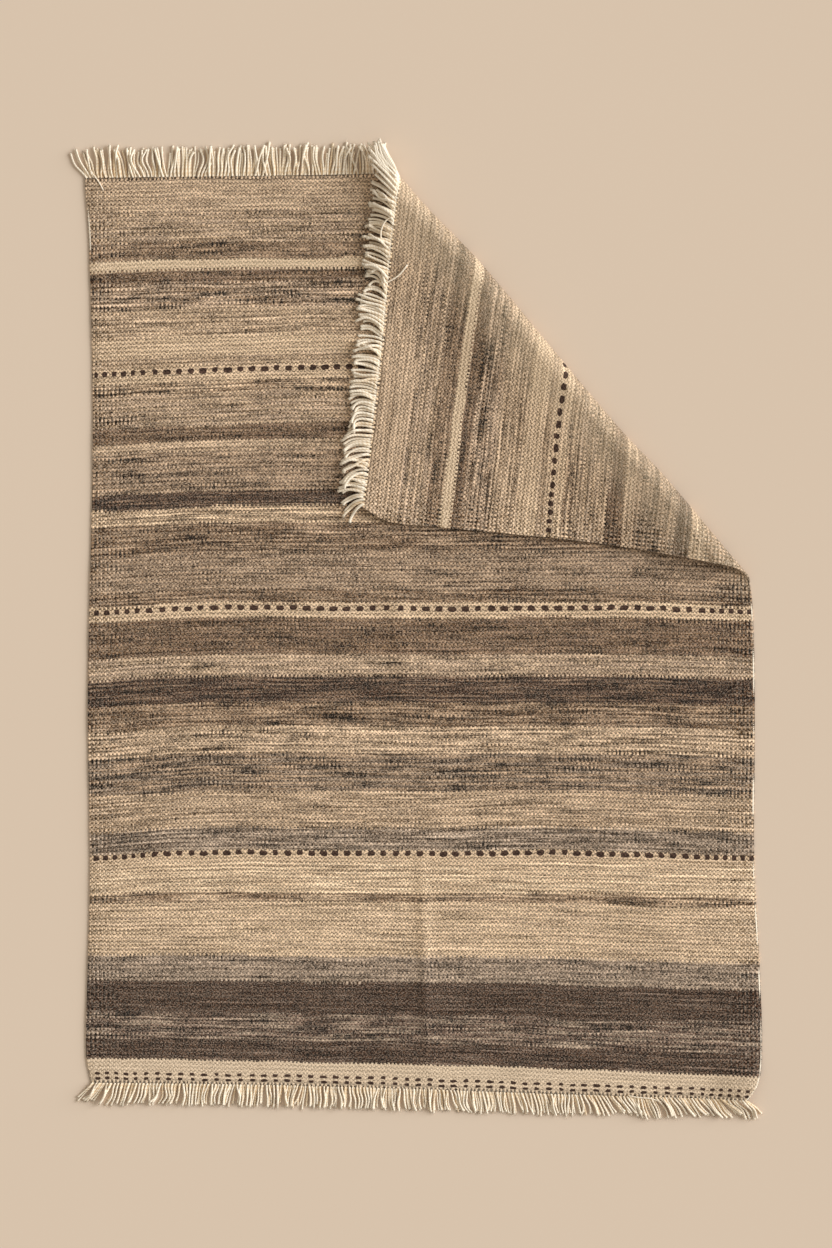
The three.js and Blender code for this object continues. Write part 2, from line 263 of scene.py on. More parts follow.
# Single yarns that lie over the cloth, on its face (1) or its back (-1), through a few flat places
Stray = namedtuple("Stray", "fringe side places")
STRAYS = [
    Stray("fringe_top", 1, ((-594, 832), (-590, 824), (-581, 812), (-572, 796))),
    Stray("fringe_folded", -1, ((172, 840), (164, 825), (150, 807), (130, 794))),
    Stray("fringe_folded", -1, ((48, 832), (58, 843), (76, 848), (92, 846))),
    Stray("fringe_bottom", 1, ((372, -836), (392, -840), (414, -842), (434, -848))),
]


def linear(code):
    """An sRGB hex colour as linear red, green and blue."""
    parts = [int(code[i:i + 2], 16) / 255 for i in (1, 3, 5)]
    return [c / 12.92 if c <= 0.04045 else ((c + 0.055) / 1.055) ** 2.4 for c in parts]


def yarn_colour(name, code, description):
    return bpy.props.FloatVectorProperty(
        name=name, description=description, default=linear(code), size=3, min=0, max=1, subtype="COLOR"
    )


def length_in_mm(name, default, description):
    return bpy.props.FloatProperty(
        name=name, description=description, default=default * MM, min=0, subtype="DISTANCE", unit="LENGTH"
    )


class KilimSizes(bpy.types.PropertyGroup):
    """Sizes that change how coarse the rug looks. Its outline and fold follow the frame."""

    warp_spacing: length_in_mm("Warp spacing", 3.6, "From one warp to the next, across the rug")
    float_height: length_in_mm("Float height", 7.2, "From one float of the weft to the next, two picks")
    cell: length_in_mm("Mesh cell", 5.6, "Width of a face of the cloth's mesh, which is longer than wide")
    edge_cord: length_in_mm("Edge cord", 5.2, "Thickness of the side edge with its weft turns")
    yarn: length_in_mm("Fringe yarn", 3.8, "Thickness of a loose warp end")
    top_fringe: length_in_mm("Top fringe", 75, "Mean length of the warp ends at the top end")
    folded_fringe: length_in_mm("Folded fringe", 66, "Mean length of the warp ends on the folded part")
    bottom_fringe: length_in_mm("Bottom fringe", 52, "Mean length of the warp ends at the bottom end")


class KilimColours(bpy.types.PropertyGroup):
    """Colours of the wool wefts, the cotton warp and the floor, and of painted shade and highlight."""

    charcoal: yarn_colour("Charcoal", "#564538", "Darkest weft")
    walnut: yarn_colour("Walnut", "#6a5543", "Dark brown weft")
    umber: yarn_colour("Umber", "#7b6550", "Brown weft")
    taupe: yarn_colour("Taupe", "#8b745d", "Grey-brown weft")
    mushroom: yarn_colour("Mushroom", "#98816a", "Mid brown weft")
    oat: yarn_colour("Oat", "#a68d72", "Darker sand weft")
    sand: yarn_colour("Sand", "#b2987c", "Sand weft")
    camel: yarn_colour("Camel", "#c0a586", "Warm light weft")
    cream: yarn_colour("Cream", "#cbb191", "Cream weft")
    graphite: yarn_colour("Graphite", "#6b594b", "Grey-black weft")
    slate: yarn_colour("Slate", "#82705e", "Cool grey-brown weft")
    stone: yarn_colour("Stone", "#988470", "Cool mid weft")
    dots: yarn_colour("Dots", "#46342a", "Wefts of the small dots")
    ecru: yarn_colour("Ecru", "#ccb497", "Pale weft of the end band")
    # A painted highlight: the wool along the fold's crown is painted paler, where the light falls across it
    painted_fold_highlight: yarn_colour("Painted_highlight", "#dec6a4", "Wool rubbed pale along the fold")
    warp: yarn_colour("Warp", "#f3e4cc", "Ivory cotton warp and fringe")
    # Tan and Shade are painted shade: the ivory cotton as it looks in half shade between the loose yarns and
    # in deep shade at the roots and deep in the fringe
    tan: yarn_colour("Tan", "#e2c49a", "Cotton between the loose yarns")
    shade: yarn_colour("Shade", "#a87a48", "Cotton at the roots and deep in the fringe")
    floor: yarn_colour("Floor", "#d8c3ac", "Floor under the rug")


# The flat cloth and its fold


def through(rows, at):
    """A smooth curve through a table's rows of place and value, read at one or many places."""
    places, values = np.array(rows, float).T
    slopes = np.gradient(values, places, edge_order=1)
    slopes[1:-1] = (values[2:] - values[:-2]) / (places[2:] - places[:-2])
    i = np.clip(np.searchsorted(places, at) - 1, 0, len(places) - 2)
    width = places[i + 1] - places[i]
    x = np.clip((at - places[i]) / width, 0, 1)
    return (
        (1 + 2 * x) * (1 - x) ** 2 * values[i]
        + x * (1 - x) ** 2 * slopes[i] * width
        + x * x * (3 - 2 * x) * values[i + 1]
        + x * x * (x - 1) * slopes[i + 1] * width
    )


def left(v):
    return through(LEFT_SIDE, v)


def right(v):
    return through(RIGHT_SIDE, v)


def top(u):
    return through(TOP_END, u)


def bottom(u):
    return through(BOTTOM_END, u)


def corner(side, end, inset=0.0):
    """The corner where a side of the flat cloth meets a line that runs that far in from one end."""
    v = end(0.0)
    for _ in range(SOLVING_ROUNDS):
        v = end(side(v)) + inset
    return side(v), v


def fade(x):
    return 0.5 + 0.5 * np.cos(np.pi * np.clip(np.abs(x), 0, 1))


def distance_out(u, v):
    return u * OUTWARD[0] + v * OUTWARD[1] - FOLD_START


def bent(out, rise, turn, curve, length):
    """Where the cloth comes to after a length that bends evenly, from where it is."""
    end = turn + curve * length
    if not curve:
        return out + length * math.cos(turn), rise + length * math.sin(turn), end
    return out + (np.sin(end) - math.sin(turn)) / curve, rise + (math.cos(turn) - np.cos(end)) / curve, end


def fold_at(length):
    """How far out, how high and how far turned the cloth is after a length of the fold."""
    reached = (length, np.zeros_like(length), np.zeros_like(length))
    begun = 0.0
    start = (0.0, 0.0, 0.0)
    for bend in FOLD_PROFILE:
        curve = math.radians(bend.turn) / bend.length
        here = bent(*start, curve, np.clip(length - begun, 0, bend.length))
        reached = [np.where(length > begun, new, old) for new, old in zip(here, reached)]
        start = bent(*start, curve, bend.length)
        begun += bend.length
    out, rise, turn = reached
    return np.where(length > begun, start[0] - (length - begun), out), rise, turn


def frame_shift():
    """From the flat layout's own origin to the frame's, found on the cloth's lowest corner."""
    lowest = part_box("cloth")[0] / MM
    v = np.linspace(corner(left, bottom)[1], corner(left, top)[1], SIDE_SAMPLES)
    return np.array([lowest.x - left(v).min(), lowest.y - corner(right, bottom, END_STRIP)[1], 0])


SHIFT = frame_shift()


def place(u, v, offset):
    """Where points of the flat cloth come to lie, off its middle by offset, in metres in the frame."""
    length = distance_out(u, v)
    along = u * ALONG_FOLD[0] + v * ALONG_FOLD[1]
    out, rise, turn = fold_at(length)
    wave = through(FOLD_WAVES, along) * fade((length - FOLD_WAVE_CENTRE) / FOLD_WAVE_REACH)
    out = FOLD_START + out + wave - offset * np.sin(turn)
    height = CLOTH_THICKNESS / 2 + rise + offset * np.cos(turn)
    for lift in LIFTS:
        height = height + lift.rise * fade(np.hypot(u - lift.u, v - lift.v) / lift.reach)
    points = np.multiply.outer(out, OUTWARD) + np.multiply.outer(along, ALONG_FOLD)
    return (points + np.multiply.outer(height, UP) + SHIFT) * MM


def weft_stray(u, v):
    """How far the line of weft through a point has strayed from straight."""
    lines = np.array([through(list(zip(WEFT_STATIONS, line.strays)), u) for line in WEFT_LINES])
    levels = np.array([line.v for line in WEFT_LINES], float)
    i = np.clip(np.searchsorted(levels, v) - 1, 0, len(levels) - 2)
    share = np.clip((v - levels[i]) / (levels[i + 1] - levels[i]), 0, 1)
    points = np.arange(len(u))
    return lines[i, points] * (1 - share) + lines[i + 1, points] * share


EDGE_ZONE = 90
LOOSE_SIDE = 0.82


def weave_coordinates(u, v):
    """Each point's place in the weave: across, down from the first weft, and nearness to a side."""
    to_side = np.minimum(u - left(v), right(v) - u)
    nearness = np.clip(1 - to_side / EDGE_ZONE, 0, 1) * np.where(u < 0, LOOSE_SIDE, 1)
    return np.stack([u, FIRST_WEFT - (v - weft_stray(u, v)), nearness], axis=1)


# How far the painted shade at the last pick reaches, and how far out from the fold's start the painted
# highlight along the fold lies and how far it reaches
END_ZONE = 4.5
FOLD_HIGHLIGHT_MIDDLE = 60
FOLD_HIGHLIGHT_REACH = 90


def end_nearness(u, v):
    """How near each point is to the last pick, from 0 to 1, for the painted shade between the warp
    ends there, and how near it is to the fold's crown, for the painted highlight along the fold.
    """
    to_end = np.minimum(top(u) - v, v - bottom(u))
    nearness = np.clip(1 - to_end / END_ZONE, 0, 1)
    to_fold = (distance_out(u, v) - FOLD_HIGHLIGHT_MIDDLE) / FOLD_HIGHLIGHT_REACH
    return np.stack([nearness, fade(to_fold), np.zeros_like(u)], axis=1)


def mesh_points(mesh):
    points = np.empty(len(mesh.vertices) * 3, np.float32)
    mesh.vertices.foreach_get("co", points)
    return points.reshape(-1, 3).astype(float)


def set_points(mesh, points):
    mesh.vertices.foreach_set("co", points.astype(np.float32).ravel())
    mesh.update()


def set_attribute(mesh, name, values):
    layer = mesh.attributes.new(name, "FLOAT_VECTOR", "POINT")
    layer.data.foreach_set("vector", values.astype(np.float32).ravel())


def fold_over(mesh):
    """Notes each flat point's place in the weave, then folds the mesh."""
    u, v, offset = mesh_points(mesh).T
    set_attribute(mesh, "weave", weave_coordinates(u, v))
    set_attribute(mesh, "ends", end_nearness(u, v))
    set_points(mesh, place(u, v, offset))


def finished_piece(name, mesh, material):
    piece = bpy.data.objects.new(name, mesh)
    bpy.context.collection.objects.link(piece)
    mesh.materials.append(material)
    mesh.shade_smooth()
    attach(piece, "root")
    return piece


def mesh_from(bm, name):
    mesh = bpy.data.meshes.new(name)
    bm.to_mesh(mesh)
    bm.free()
    return mesh


# The woven cloth

FOLD_CUT = 5
CELL_LENGTH = 1.7
FOLD_SNAP = 0.15
PUCKER = 0.35
PUCKER_LENGTH = 130
CLOTH_SHARP = math.radians(60)


def crease_rise(u, v):
    rise = np.zeros_like(u)
    for crease in CREASES:
        middle = (crease.start + crease.end) / 2
        reach = (crease.end - crease.start) / 2
        share = np.clip((v - crease.start) / (crease.end - crease.start), 0, 1)
        beside = u - crease.lower - (crease.upper - crease.lower) * share
        rise += crease.rise * fade(beside / crease.width) * fade((v - middle) / reach) ** 0.5
    return rise


def cloth_mesh(cell):
    """The flat cloth: a grid on its outline, cut along the bends of the fold, with its thickness."""
    width = corner(right, top)[0] - corner(left, top)[0]
    height = corner(left, top)[1] - corner(left, bottom)[1]
    bm = bmesh.new()
    columns = round(width / cell)
    rows = round(height / cell / CELL_LENGTH)
    bmesh.ops.create_grid(bm, x_segments=columns, y_segments=rows, size=1)
    for vert in bm.verts:
        s = (vert.co.x + 1) / 2
        t = (vert.co.y + 1) / 2
        vert.co = (s, t, 0)
    mesh = mesh_from(bm, "flat cloth")
    s, t, _ = mesh_points(mesh).T
    v = corner(left, bottom)[1] + t * height
    for _ in range(SOLVING_ROUNDS):
        u = left(v) + s * (right(v) - left(v))
        v = bottom(u) + t * (top(u) - bottom(u))
    set_points(mesh, np.stack([u, v, np.zeros_like(u)], axis=1))

    bm = bmesh.new()
    bm.from_mesh(mesh)
    bpy.data.meshes.remove(mesh)
    # Only the faces about the fold are cut, once for each few degrees of its turn
    end = FOLD_START + sum(bend.length for bend in FOLD_PROFILE)
    reach = cell * CELL_LENGTH
    near = [
        face for face in bm.faces
        if FOLD_START - reach < face.calc_center_median().dot(OUTWARD) < end + reach
    ]
    edges = dict.fromkeys(edge for face in near for edge in face.edges)
    corners = dict.fromkeys(vert for face in near for vert in face.verts)
    geometry = [*near, *edges, *corners]
    begun = FOLD_START
    for bend in FOLD_PROFILE:
        cuts = max(1, math.ceil(abs(bend.turn) / FOLD_CUT))
        for i in range(cuts):
            at = OUTWARD * (begun + bend.length * i / cuts)
            cut = bmesh.ops.bisect_plane(bm, geom=geometry, dist=FOLD_SNAP, plane_co=at, plane_no=OUTWARD)
            geometry = cut["geom"]
        begun += bend.length
    back = list(bm.verts)
    bmesh.ops.extrude_face_region(bm, geom=bm.faces[:], use_keep_orig=True)
    bmesh.ops.translate(bm, verts=back, vec=(0, 0, -CLOTH_THICKNESS))
    bmesh.ops.translate(bm, verts=bm.verts[:], vec=(0, 0, CLOTH_THICKNESS / 2))
    bmesh.ops.recalc_face_normals(bm, faces=bm.faces[:])
    return mesh_from(bm, "cloth")


def pucker(u, v):
    """Low, uneven waves in the face, as hand-beaten cloth has. The odd factors keep them from
    repeating."""
    wave = 2 * np.pi / PUCKER_LENGTH
    across = np.sin(wave * u + 1.7 * np.sin(wave * 0.31 * v))
    along = np.sin(wave * 0.83 * v + 1.3 * np.sin(wave * 0.43 * u + 2))
    return PUCKER * across * along


class KILIM_OT_weave_cloth(bpy.types.Operator):
    """Weaves the striped cloth and folds its corner over"""

    bl_idname = "kilim.weave_cloth"
    bl_label = "Weave Cloth"
    bl_options = {"REGISTER", "UNDO"}

    def execute(self, context):
        sizes = context.scene.kilim_sizes
        mesh = cloth_mesh(sizes.cell / MM)
        u, v, offset = mesh_points(mesh).T
        to_side = np.minimum(u - left(v), right(v) - u)
        thinned = EDGE_THINNING * CLOTH_THICKNESS / 2 * fade(to_side / EDGE_THINNED)
        uneven = pucker(u, v) + crease_rise(u, v) - thinned
        raised = offset + np.where(offset > 0, uneven, 0)
        set_points(mesh, np.stack([u, v, raised], axis=1))
        fold_over(mesh)
        mesh.set_sharp_from_angle(angle=CLOTH_SHARP)
        material = woven_wool(context.scene, "Wool kilim weave")
        piece = finished_piece("woven_cloth", mesh, material)
        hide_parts("cloth")
        return {"FINISHED"}


# The side edges: the outer warp, with each weft turned back round it

EDGE_RING = 1.2
EDGE_SIDES = 8
EDGE_TURN_DEPTH = 0.16
EDGE_SLANT = 0.35
EDGE_FLATNESS = 0.62
EDGE_THINNING = 0.7
EDGE_THINNED = 9


def side_edge(side, sign, cord, pick):
    """One side's cord in the flat layout, with a swell for each weft that turns round it."""
    low = corner(side, bottom)[1]
    high = corner(side, top)[1]
    bm = bmesh.new()
    rings = round((high - low) / EDGE_RING)
    bmesh.ops.create_grid(bm, x_segments=EDGE_SIDES, y_segments=rings, size=1)
    mesh = mesh_from(bm, "side edge")
    x, y, _ = mesh_points(mesh).T
    angle = np.pi * x
    v = low + (y + 1) / 2 * (high - low)
    turn = np.abs(np.sin(np.pi * (v / pick + EDGE_SLANT * np.cos(angle))))
    swell = (1 - EDGE_TURN_DEPTH + EDGE_TURN_DEPTH * turn) * cord / 2
    middle = side(v) - sign * cord / 2
    raised = (cord * EDGE_FLATNESS - CLOTH_THICKNESS) / 2
    height = raised + np.sin(angle) * swell * EDGE_FLATNESS
    points = np.stack([middle + np.cos(angle) * swell, v, height], axis=1)
    set_points(mesh, points)
    bm = bmesh.new()
    bm.from_mesh(mesh)
    bpy.data.meshes.remove(mesh)
    bmesh.ops.remove_doubles(bm, verts=bm.verts[:], dist=MM)
    bmesh.ops.holes_fill(bm, edges=[e for e in bm.edges if e.is_boundary], sides=EDGE_SIDES)
    bmesh.ops.recalc_face_normals(bm, faces=bm.faces[:])
    return mesh_from(bm, "side edge")


class KILIM_OT_turn_edges(bpy.types.Operator):
    """Turns the wefts back round the outer warp along both sides"""

    bl_idname = "kilim.turn_edges"
    bl_label = "Turn Side Edges"
    bl_options = {"REGISTER", "UNDO"}

    def execute(self, context):
        sizes = context.scene.kilim_sizes
        sides = ((left, -1), (right, 1))
        cords = [side_edge(*each, sizes.edge_cord / MM, sizes.float_height / 2 / MM) for each in sides]
        mesh = join("side_edges", cords)
        fold_over(mesh)
        material = woven_wool(context.scene, "Wool edge turns", turns=True)
        finished_piece("side_edges", mesh, material)
        return {"FINISHED"}


# The fringes: loose cotton warp ends, laid one after another on what is under them

# One yarn: how it thins along its length, frays from a share of it on, and is pinched at the root
YARN_SIDES = 6
YARN_RINGS = 11
YARN_TAPER = 0.12
YARN_TIP_SPREAD = 0.25
FRAYED_FROM = 0.85
YARN_ROOT_PINCH = 0.3
PINCHED_ROOT = 0.12
THICKNESS_SPREAD = 0.07
LENGTH_SPREAD = 0.07
STRAY_THICKNESS = 0.6

# The roots, in a lower and an upper layer: depths and random shifts in millimetres, the rest in
# shares of the upper layer's
ROOT_INSIDE = 4
ROOT_STEPS = 1
GATHER_REACH = 70
LOWER_JITTER = 0.8
UPPER_JITTER = 0.6
LOWER_OFFSET = -0.9
UPPER_OFFSET = 0.1
LOWER_SHIFT = 0.4
LOWER_LENGTH = 0.93
LOWER_STRAY = 0.5

# How far a yarn's own way, its pair's and its tuft's count in its lean
STRAIGHT_ROOT = 0.3
OWN_STRAY = 0.3
CURL_TUFT = 0.6
CURL_LOCK = 0.6
BEND_TUFT = 0.5
BEND_LOCK = 0.35

# How a yarn droops for each millimetre, how steeply it may go, and how it settles on those below
DROOP = math.radians(2.4)
STEEPEST = math.radians(52)
CLIMB = math.radians(6)
HIGHEST = 40
SETTLING_ROUNDS = 3
SETTLING = (0.25, 0.5, 0.25)
SINKING = 0.25
PACKING = 0.9
BED_CELL = 1.6
BED_REACH = (680, 940)
BED_GAP = 0.3

# How light the yarns are, from 0 to 1, and less so where they are loose: the tight yarns that fan
# from the fold's crown are painted lighter, as painted light where the crown shades them
YARN_TONE = 0.8
LOOSE_TONE = -0.24
TONE_SPREAD = 0.12
STRAY_TONE = 0.6
FIBRE_TONE = 0.2

# The loose fibres at each cut tip
FIBRES_PER_TIP = 5
FIBRE_LENGTH = 8
FIBRE_LENGTHS = (0.5, 1.2)
FIBRE_THICKNESS = 0.5
FIBRE_SPREAD = 0.38
FIBRE_FLATNESS = 0.25
FIBRE_RISE = (-0.1, 0.3)
FIBRE_ROOT = 2
FIBRE_JITTER = 0.5
FIBRE_POINT = 0.1

# Guards against a rounding error and against a division by nothing
ROUNDING = 1e-4
SHORTEST = 1e-6


class Bed:
    """Heights of what the yarns lie on, in millimetres, which each laid yarn raises."""

    def __init__(self):
        self.size = [round(2 * reach / BED_CELL) for reach in BED_REACH]
        u = (np.arange(self.size[0]) + 0.5) * BED_CELL - BED_REACH[0]
        v = (np.arange(self.size[1]) + 0.5) * BED_CELL - BED_REACH[1]
        self.u, self.v = np.meshgrid(u, v, indexing="ij")
        inside = (self.u > left(self.v)) & (self.u < right(self.v))
        inside &= (self.v > bottom(self.u)) & (self.v < top(self.u))
        inside &= distance_out(self.u, self.v) < 0
        self.height = np.where(inside, CLOTH_THICKNESS + BED_GAP, 0.0)

    def cells(self, points, radius):
        reach = math.ceil(radius / BED_CELL)
        steps = np.arange(-reach, reach + 1)
        di, dj = (grid.ravel() for grid in np.meshgrid(steps, steps))
        i = np.floor((points[:, 0] + BED_REACH[0]) / BED_CELL).astype(int)[:, None] + di
        j = np.floor((points[:, 1] + BED_REACH[1]) / BED_CELL).astype(int)[:, None] + dj
        i = np.clip(i, 0, self.size[0] - 1)
        j = np.clip(j, 0, self.size[1] - 1)
        away = np.hypot(self.u[i, j] - points[:, :1], self.v[i, j] - points[:, 1:2])
        return i, j, away

    def under(self, points, radius):
        i, j, away = self.cells(points, radius)
        lift = np.sqrt(np.clip(radius * radius - away * away, 0, None))
        return np.where(away < radius, self.height[i, j] + lift, 0).max(axis=1)

    def lay(self, points, radius):
        i, j, away = self.cells(points, radius)
        crown = points[:, 2:3] + np.sqrt(np.clip(radius * radius - away * away, 0, None))
        np.maximum.at(self.height, (i, j), np.where(away < radius, crown, 0))


def yarn_template():
    """One straight yarn of unit length and radius, closed at both ends."""
    bm = bmesh.new()
    circle = bmesh.ops.create_circle(bm, segments=YARN_SIDES, radius=1)
    edges = list(dict.fromkeys(edge for vert in circle["verts"] for edge in vert.link_edges))
    swept = bmesh.ops.spin(
        bm, geom=circle["verts"] + edges, axis=(0, 0, 1), dvec=(0, 0, 1 / YARN_RINGS), steps=YARN_RINGS
    )
    last = [e for e in swept["geom_last"] if isinstance(e, bmesh.types.BMVert)]
    bmesh.ops.contextual_create(bm, geom=circle["verts"])
    bmesh.ops.contextual_create(bm, geom=last)
    bmesh.ops.recalc_face_normals(bm, faces=bm.faces[:])
    return mesh_from(bm, "yarn")


def fibre_template():
    """One straight fibre of unit length and radius, drawn to a point."""
    bm = bmesh.new()
    bmesh.ops.create_cone(bm, cap_ends=True, segments=3, radius1=1, radius2=FIBRE_POINT, depth=1)
    bmesh.ops.translate(bm, verts=bm.verts[:], vec=(0, 0, 0.5))
    return mesh_from(bm, "fibre")


def copies(template, count):
    """A mesh of that many copies of a template, one after another."""
    holder = bpy.data.objects.new("copies", template)
    array = holder.modifiers.new("copies", "ARRAY")
    array.count = count
    array.use_relative_offset = False
    bpy.context.collection.objects.link(holder)
    graph = bpy.context.evaluated_depsgraph_get()
    mesh = bpy.data.meshes.new_from_object(holder.evaluated_get(graph))
    bpy.data.objects.remove(holder)
    return mesh


def sweep(paths, radii, template, tones):
    """Lays a copy of the template along each path, as thick as its radii, and notes its strand."""
    mesh = copies(template, len(paths))
    straight = mesh_points(template)
    x, y, height = straight.T
    share = height * (paths.shape[1] - 1)
    ring = np.clip(np.floor(share + ROUNDING).astype(int), 0, paths.shape[1] - 2)
    part = share - ring
    tangents = np.gradient(paths, axis=1)
    tangents /= np.linalg.norm(tangents, axis=2, keepdims=True)
    across = np.cross(tangents, UP)
    across /= np.maximum(np.linalg.norm(across, axis=2, keepdims=True), SHORTEST)
    face = np.cross(across, tangents)

    def at_rings(values):
        later = part.reshape(-1, *[1] * (values.ndim - 2))
        return values[:, ring] * (1 - later) + values[:, ring + 1] * later

    def note(name, *values):
        values = np.stack(np.broadcast_arrays(*values), -1)
        set_attribute(mesh, name, values.reshape(-1, 3))

    size = at_rings(radii)
    points = at_rings(paths)
    points = points + at_rings(across) * (x * size)[..., None]
    points = points + at_rings(face) * (y * size)[..., None]
    set_points(mesh, points.reshape(-1, 3))
    lengths = np.linalg.norm(np.diff(paths, axis=1), axis=2).sum(axis=1) / MM
    note("strand", x, y, np.outer(lengths, height))
    note("tone", tones[:, None], height, 0)
    return mesh


# A fringe's depth is how much darker its lower layer of yarns is painted, as painted shade under the upper
# layer; a negative depth paints it lighter
Fringe = namedtuple(
    "Fringe",
    "name end sign start stop leans length spacing thick depth tuft sway wander curl seed gather hook",
    defaults=[0, 0],
)


def yarn_roots(fringe, random):
    """Where the yarns leave the cloth, in a lower layer first and then in an upper one."""
    warps = np.arange(fringe.spacing / 2, fringe.stop - fringe.start + fringe.gather, fringe.spacing)
    warps = fringe.start + warps - fringe.gather * (1 - np.exp(-warps / GATHER_REACH))
    lower = warps + random.normal(0, LOWER_JITTER, len(warps)) + fringe.spacing * LOWER_SHIFT
    upper = warps + random.normal(0, UPPER_JITTER, len(warps))
    u = np.clip(np.concatenate([lower, upper]), fringe.start + 1, fringe.stop - 1)
    layer = np.concatenate([np.zeros(len(warps)), np.ones(len(warps))])
    return u, layer


def drift(u, step, amount, random):
    """A smooth random change along the end, with a new value at each step."""
    places = np.arange(u.min() - 2 * step, u.max() + 3 * step, step)
    return through(list(zip(places, random.normal(0, amount, len(places)))), u)


def along_end(fringe, field, u):
    """A column of the fringe's table of leans, read where each yarn leaves the cloth."""
    return through([(row.u, getattr(row, field)) for row in fringe.leans], u)


def yarn_leans(fringe, u, layer, random):
    """Each yarn's lean at each ring: its tuft's, its pair's and its own."""
    lock = np.floor((u - u.min()) / fringe.spacing).astype(int)

    def by_lock(amount):
        pairs = random.normal(0, amount, lock.max() + 1)[lock]
        return pairs + random.normal(0, OWN_STRAY * amount, len(u))

    def by_tuft(length, amount):
        return drift(u, fringe.tuft * length, amount, random)

    sway = by_tuft(1, fringe.sway)
    curl = by_tuft(CURL_TUFT, fringe.curl) + by_lock(fringe.curl * CURL_LOCK)
    bend = by_tuft(1, fringe.curl * BEND_TUFT) + by_lock(fringe.curl * BEND_LOCK)
    share = np.linspace(0, 1, YARN_RINGS)
    curled = np.outer(curl, share - STRAIGHT_ROOT) + np.outer(bend, np.sin(2 * np.pi * share))
    stray = curled + by_lock(fringe.wander)[:, None] + sway[:, None]
    loose = along_end(fringe, "loose", u)
    hooked = fringe.hook * np.outer(loose, share - STRAIGHT_ROOT)
    loose = loose * np.where(layer > 0, 1, LOWER_STRAY)
    return np.radians(along_end(fringe, "lean", u)[:, None] + hooked + stray * loose[:, None])


def stray_paths(name, radius):
    """The paths of a fringe's single yarns that lie over the cloth, in metres in the frame."""
    paths = []
    for stray in STRAYS:
        if stray.fringe == name:
            at = np.linspace(0, len(stray.places) - 1, YARN_RINGS + 1)
            u, v = (through(list(enumerate(values)), at) for values in zip(*stray.places))
            paths.append(place(u, v, stray.side * (CLOTH_THICKNESS / 2 + radius)))
    return np.array(paths)


def lay_fringe(fringe, sizes, bed):
    """The yarn paths of one fringe, in metres in the frame, and their radii and tones."""
    random = np.random.default_rng(fringe.seed)
    radius = sizes.yarn / MM / 2 * fringe.thick
    u, layer = yarn_roots(fringe, random)
    v = fringe.end(u)
    leans = yarn_leans(fringe, u, layer, random)
    upper = layer > 0
    loose = along_end(fringe, "loose", u)
    droop = DROOP * along_end(fringe, "droop", u)
    lengths = fringe.length * along_end(fringe, "length", u)
    lengths = lengths * (1 + random.normal(0, LENGTH_SPREAD, len(u))) * np.where(upper, 1, LOWER_LENGTH)
    root_offset = np.where(upper, UPPER_OFFSET, LOWER_OFFSET)
    exits = place(u, v, root_offset) / MM
    inside = place(u, v - fringe.sign * ROOT_INSIDE, root_offset) / MM
    ahead = place(u, v + fringe.sign, root_offset) / MM - exits
    rise = np.arcsin(np.clip(ahead[:, 2] / np.linalg.norm(ahead, axis=1), -1, 1))
    step = lengths / (YARN_RINGS - ROOT_STEPS)
    paths = [inside, exits]
    pitch_drop = np.zeros(len(u))
    for ring in range(1, YARN_RINGS):
        heading = fringe.sign * math.pi / 2 + leans[:, ring - 1]
        pitch = np.clip(rise - pitch_drop, -STEEPEST, CLIMB)
        level = np.cos(pitch)
        forward = np.stack([np.cos(heading) * level, np.sin(heading) * level, np.sin(pitch)], axis=1)
        following = paths[-1] + forward * step[:, None]
        following[:, 2] = np.clip(following[:, 2], radius, HIGHEST)
        paths.append(following)
        pitch_drop = pitch_drop + droop * step
    paths = np.stack(paths, axis=1)
    # The lower layer is laid first, and each layer in a random order
    for k in np.lexsort((random.random(len(u)), layer)):
        path = paths[k]
        floor = bed.under(path[2:] - SHIFT, radius)
        height = path[2:, 2]
        for _ in range(SETTLING_ROUNDS):
            height = np.maximum(height, floor)
            height = np.convolve(np.pad(height, 1, mode="edge"), SETTLING, mode="valid")
        path[2:, 2] = np.minimum(np.maximum(height, floor - SINKING * radius), HIGHEST)
        bed.lay(path[1:] - SHIFT, radius * PACKING)
    share = np.linspace(0, 1, YARN_RINGS + 1)
    shape = 1 - YARN_TAPER * share + YARN_TIP_SPREAD * np.clip(share - FRAYED_FROM, 0, 1) / (1 - FRAYED_FROM)
    shape = shape - YARN_ROOT_PINCH * np.clip(1 - share / PINCHED_ROOT, 0, 1)
    radii = radius * np.outer(1 + random.normal(0, THICKNESS_SPREAD, len(u)), shape) * MM
    tones = YARN_TONE + LOOSE_TONE * loose + random.normal(0, TONE_SPREAD, len(u))
    # The lower layer is painted darker by the fringe's depth, as painted shade under the upper layer
    tones = tones - np.where(upper, 0, fringe.depth * loose)
    thin = radius * STRAY_THICKNESS
    strays = stray_paths(fringe.name, thin)
    paths = np.concatenate([paths * MM, strays])
    radii = np.concatenate([radii, np.full((len(strays), YARN_RINGS + 1), thin * MM)])
    return paths, radii, np.concatenate([tones, np.full(len(strays), STRAY_TONE)])


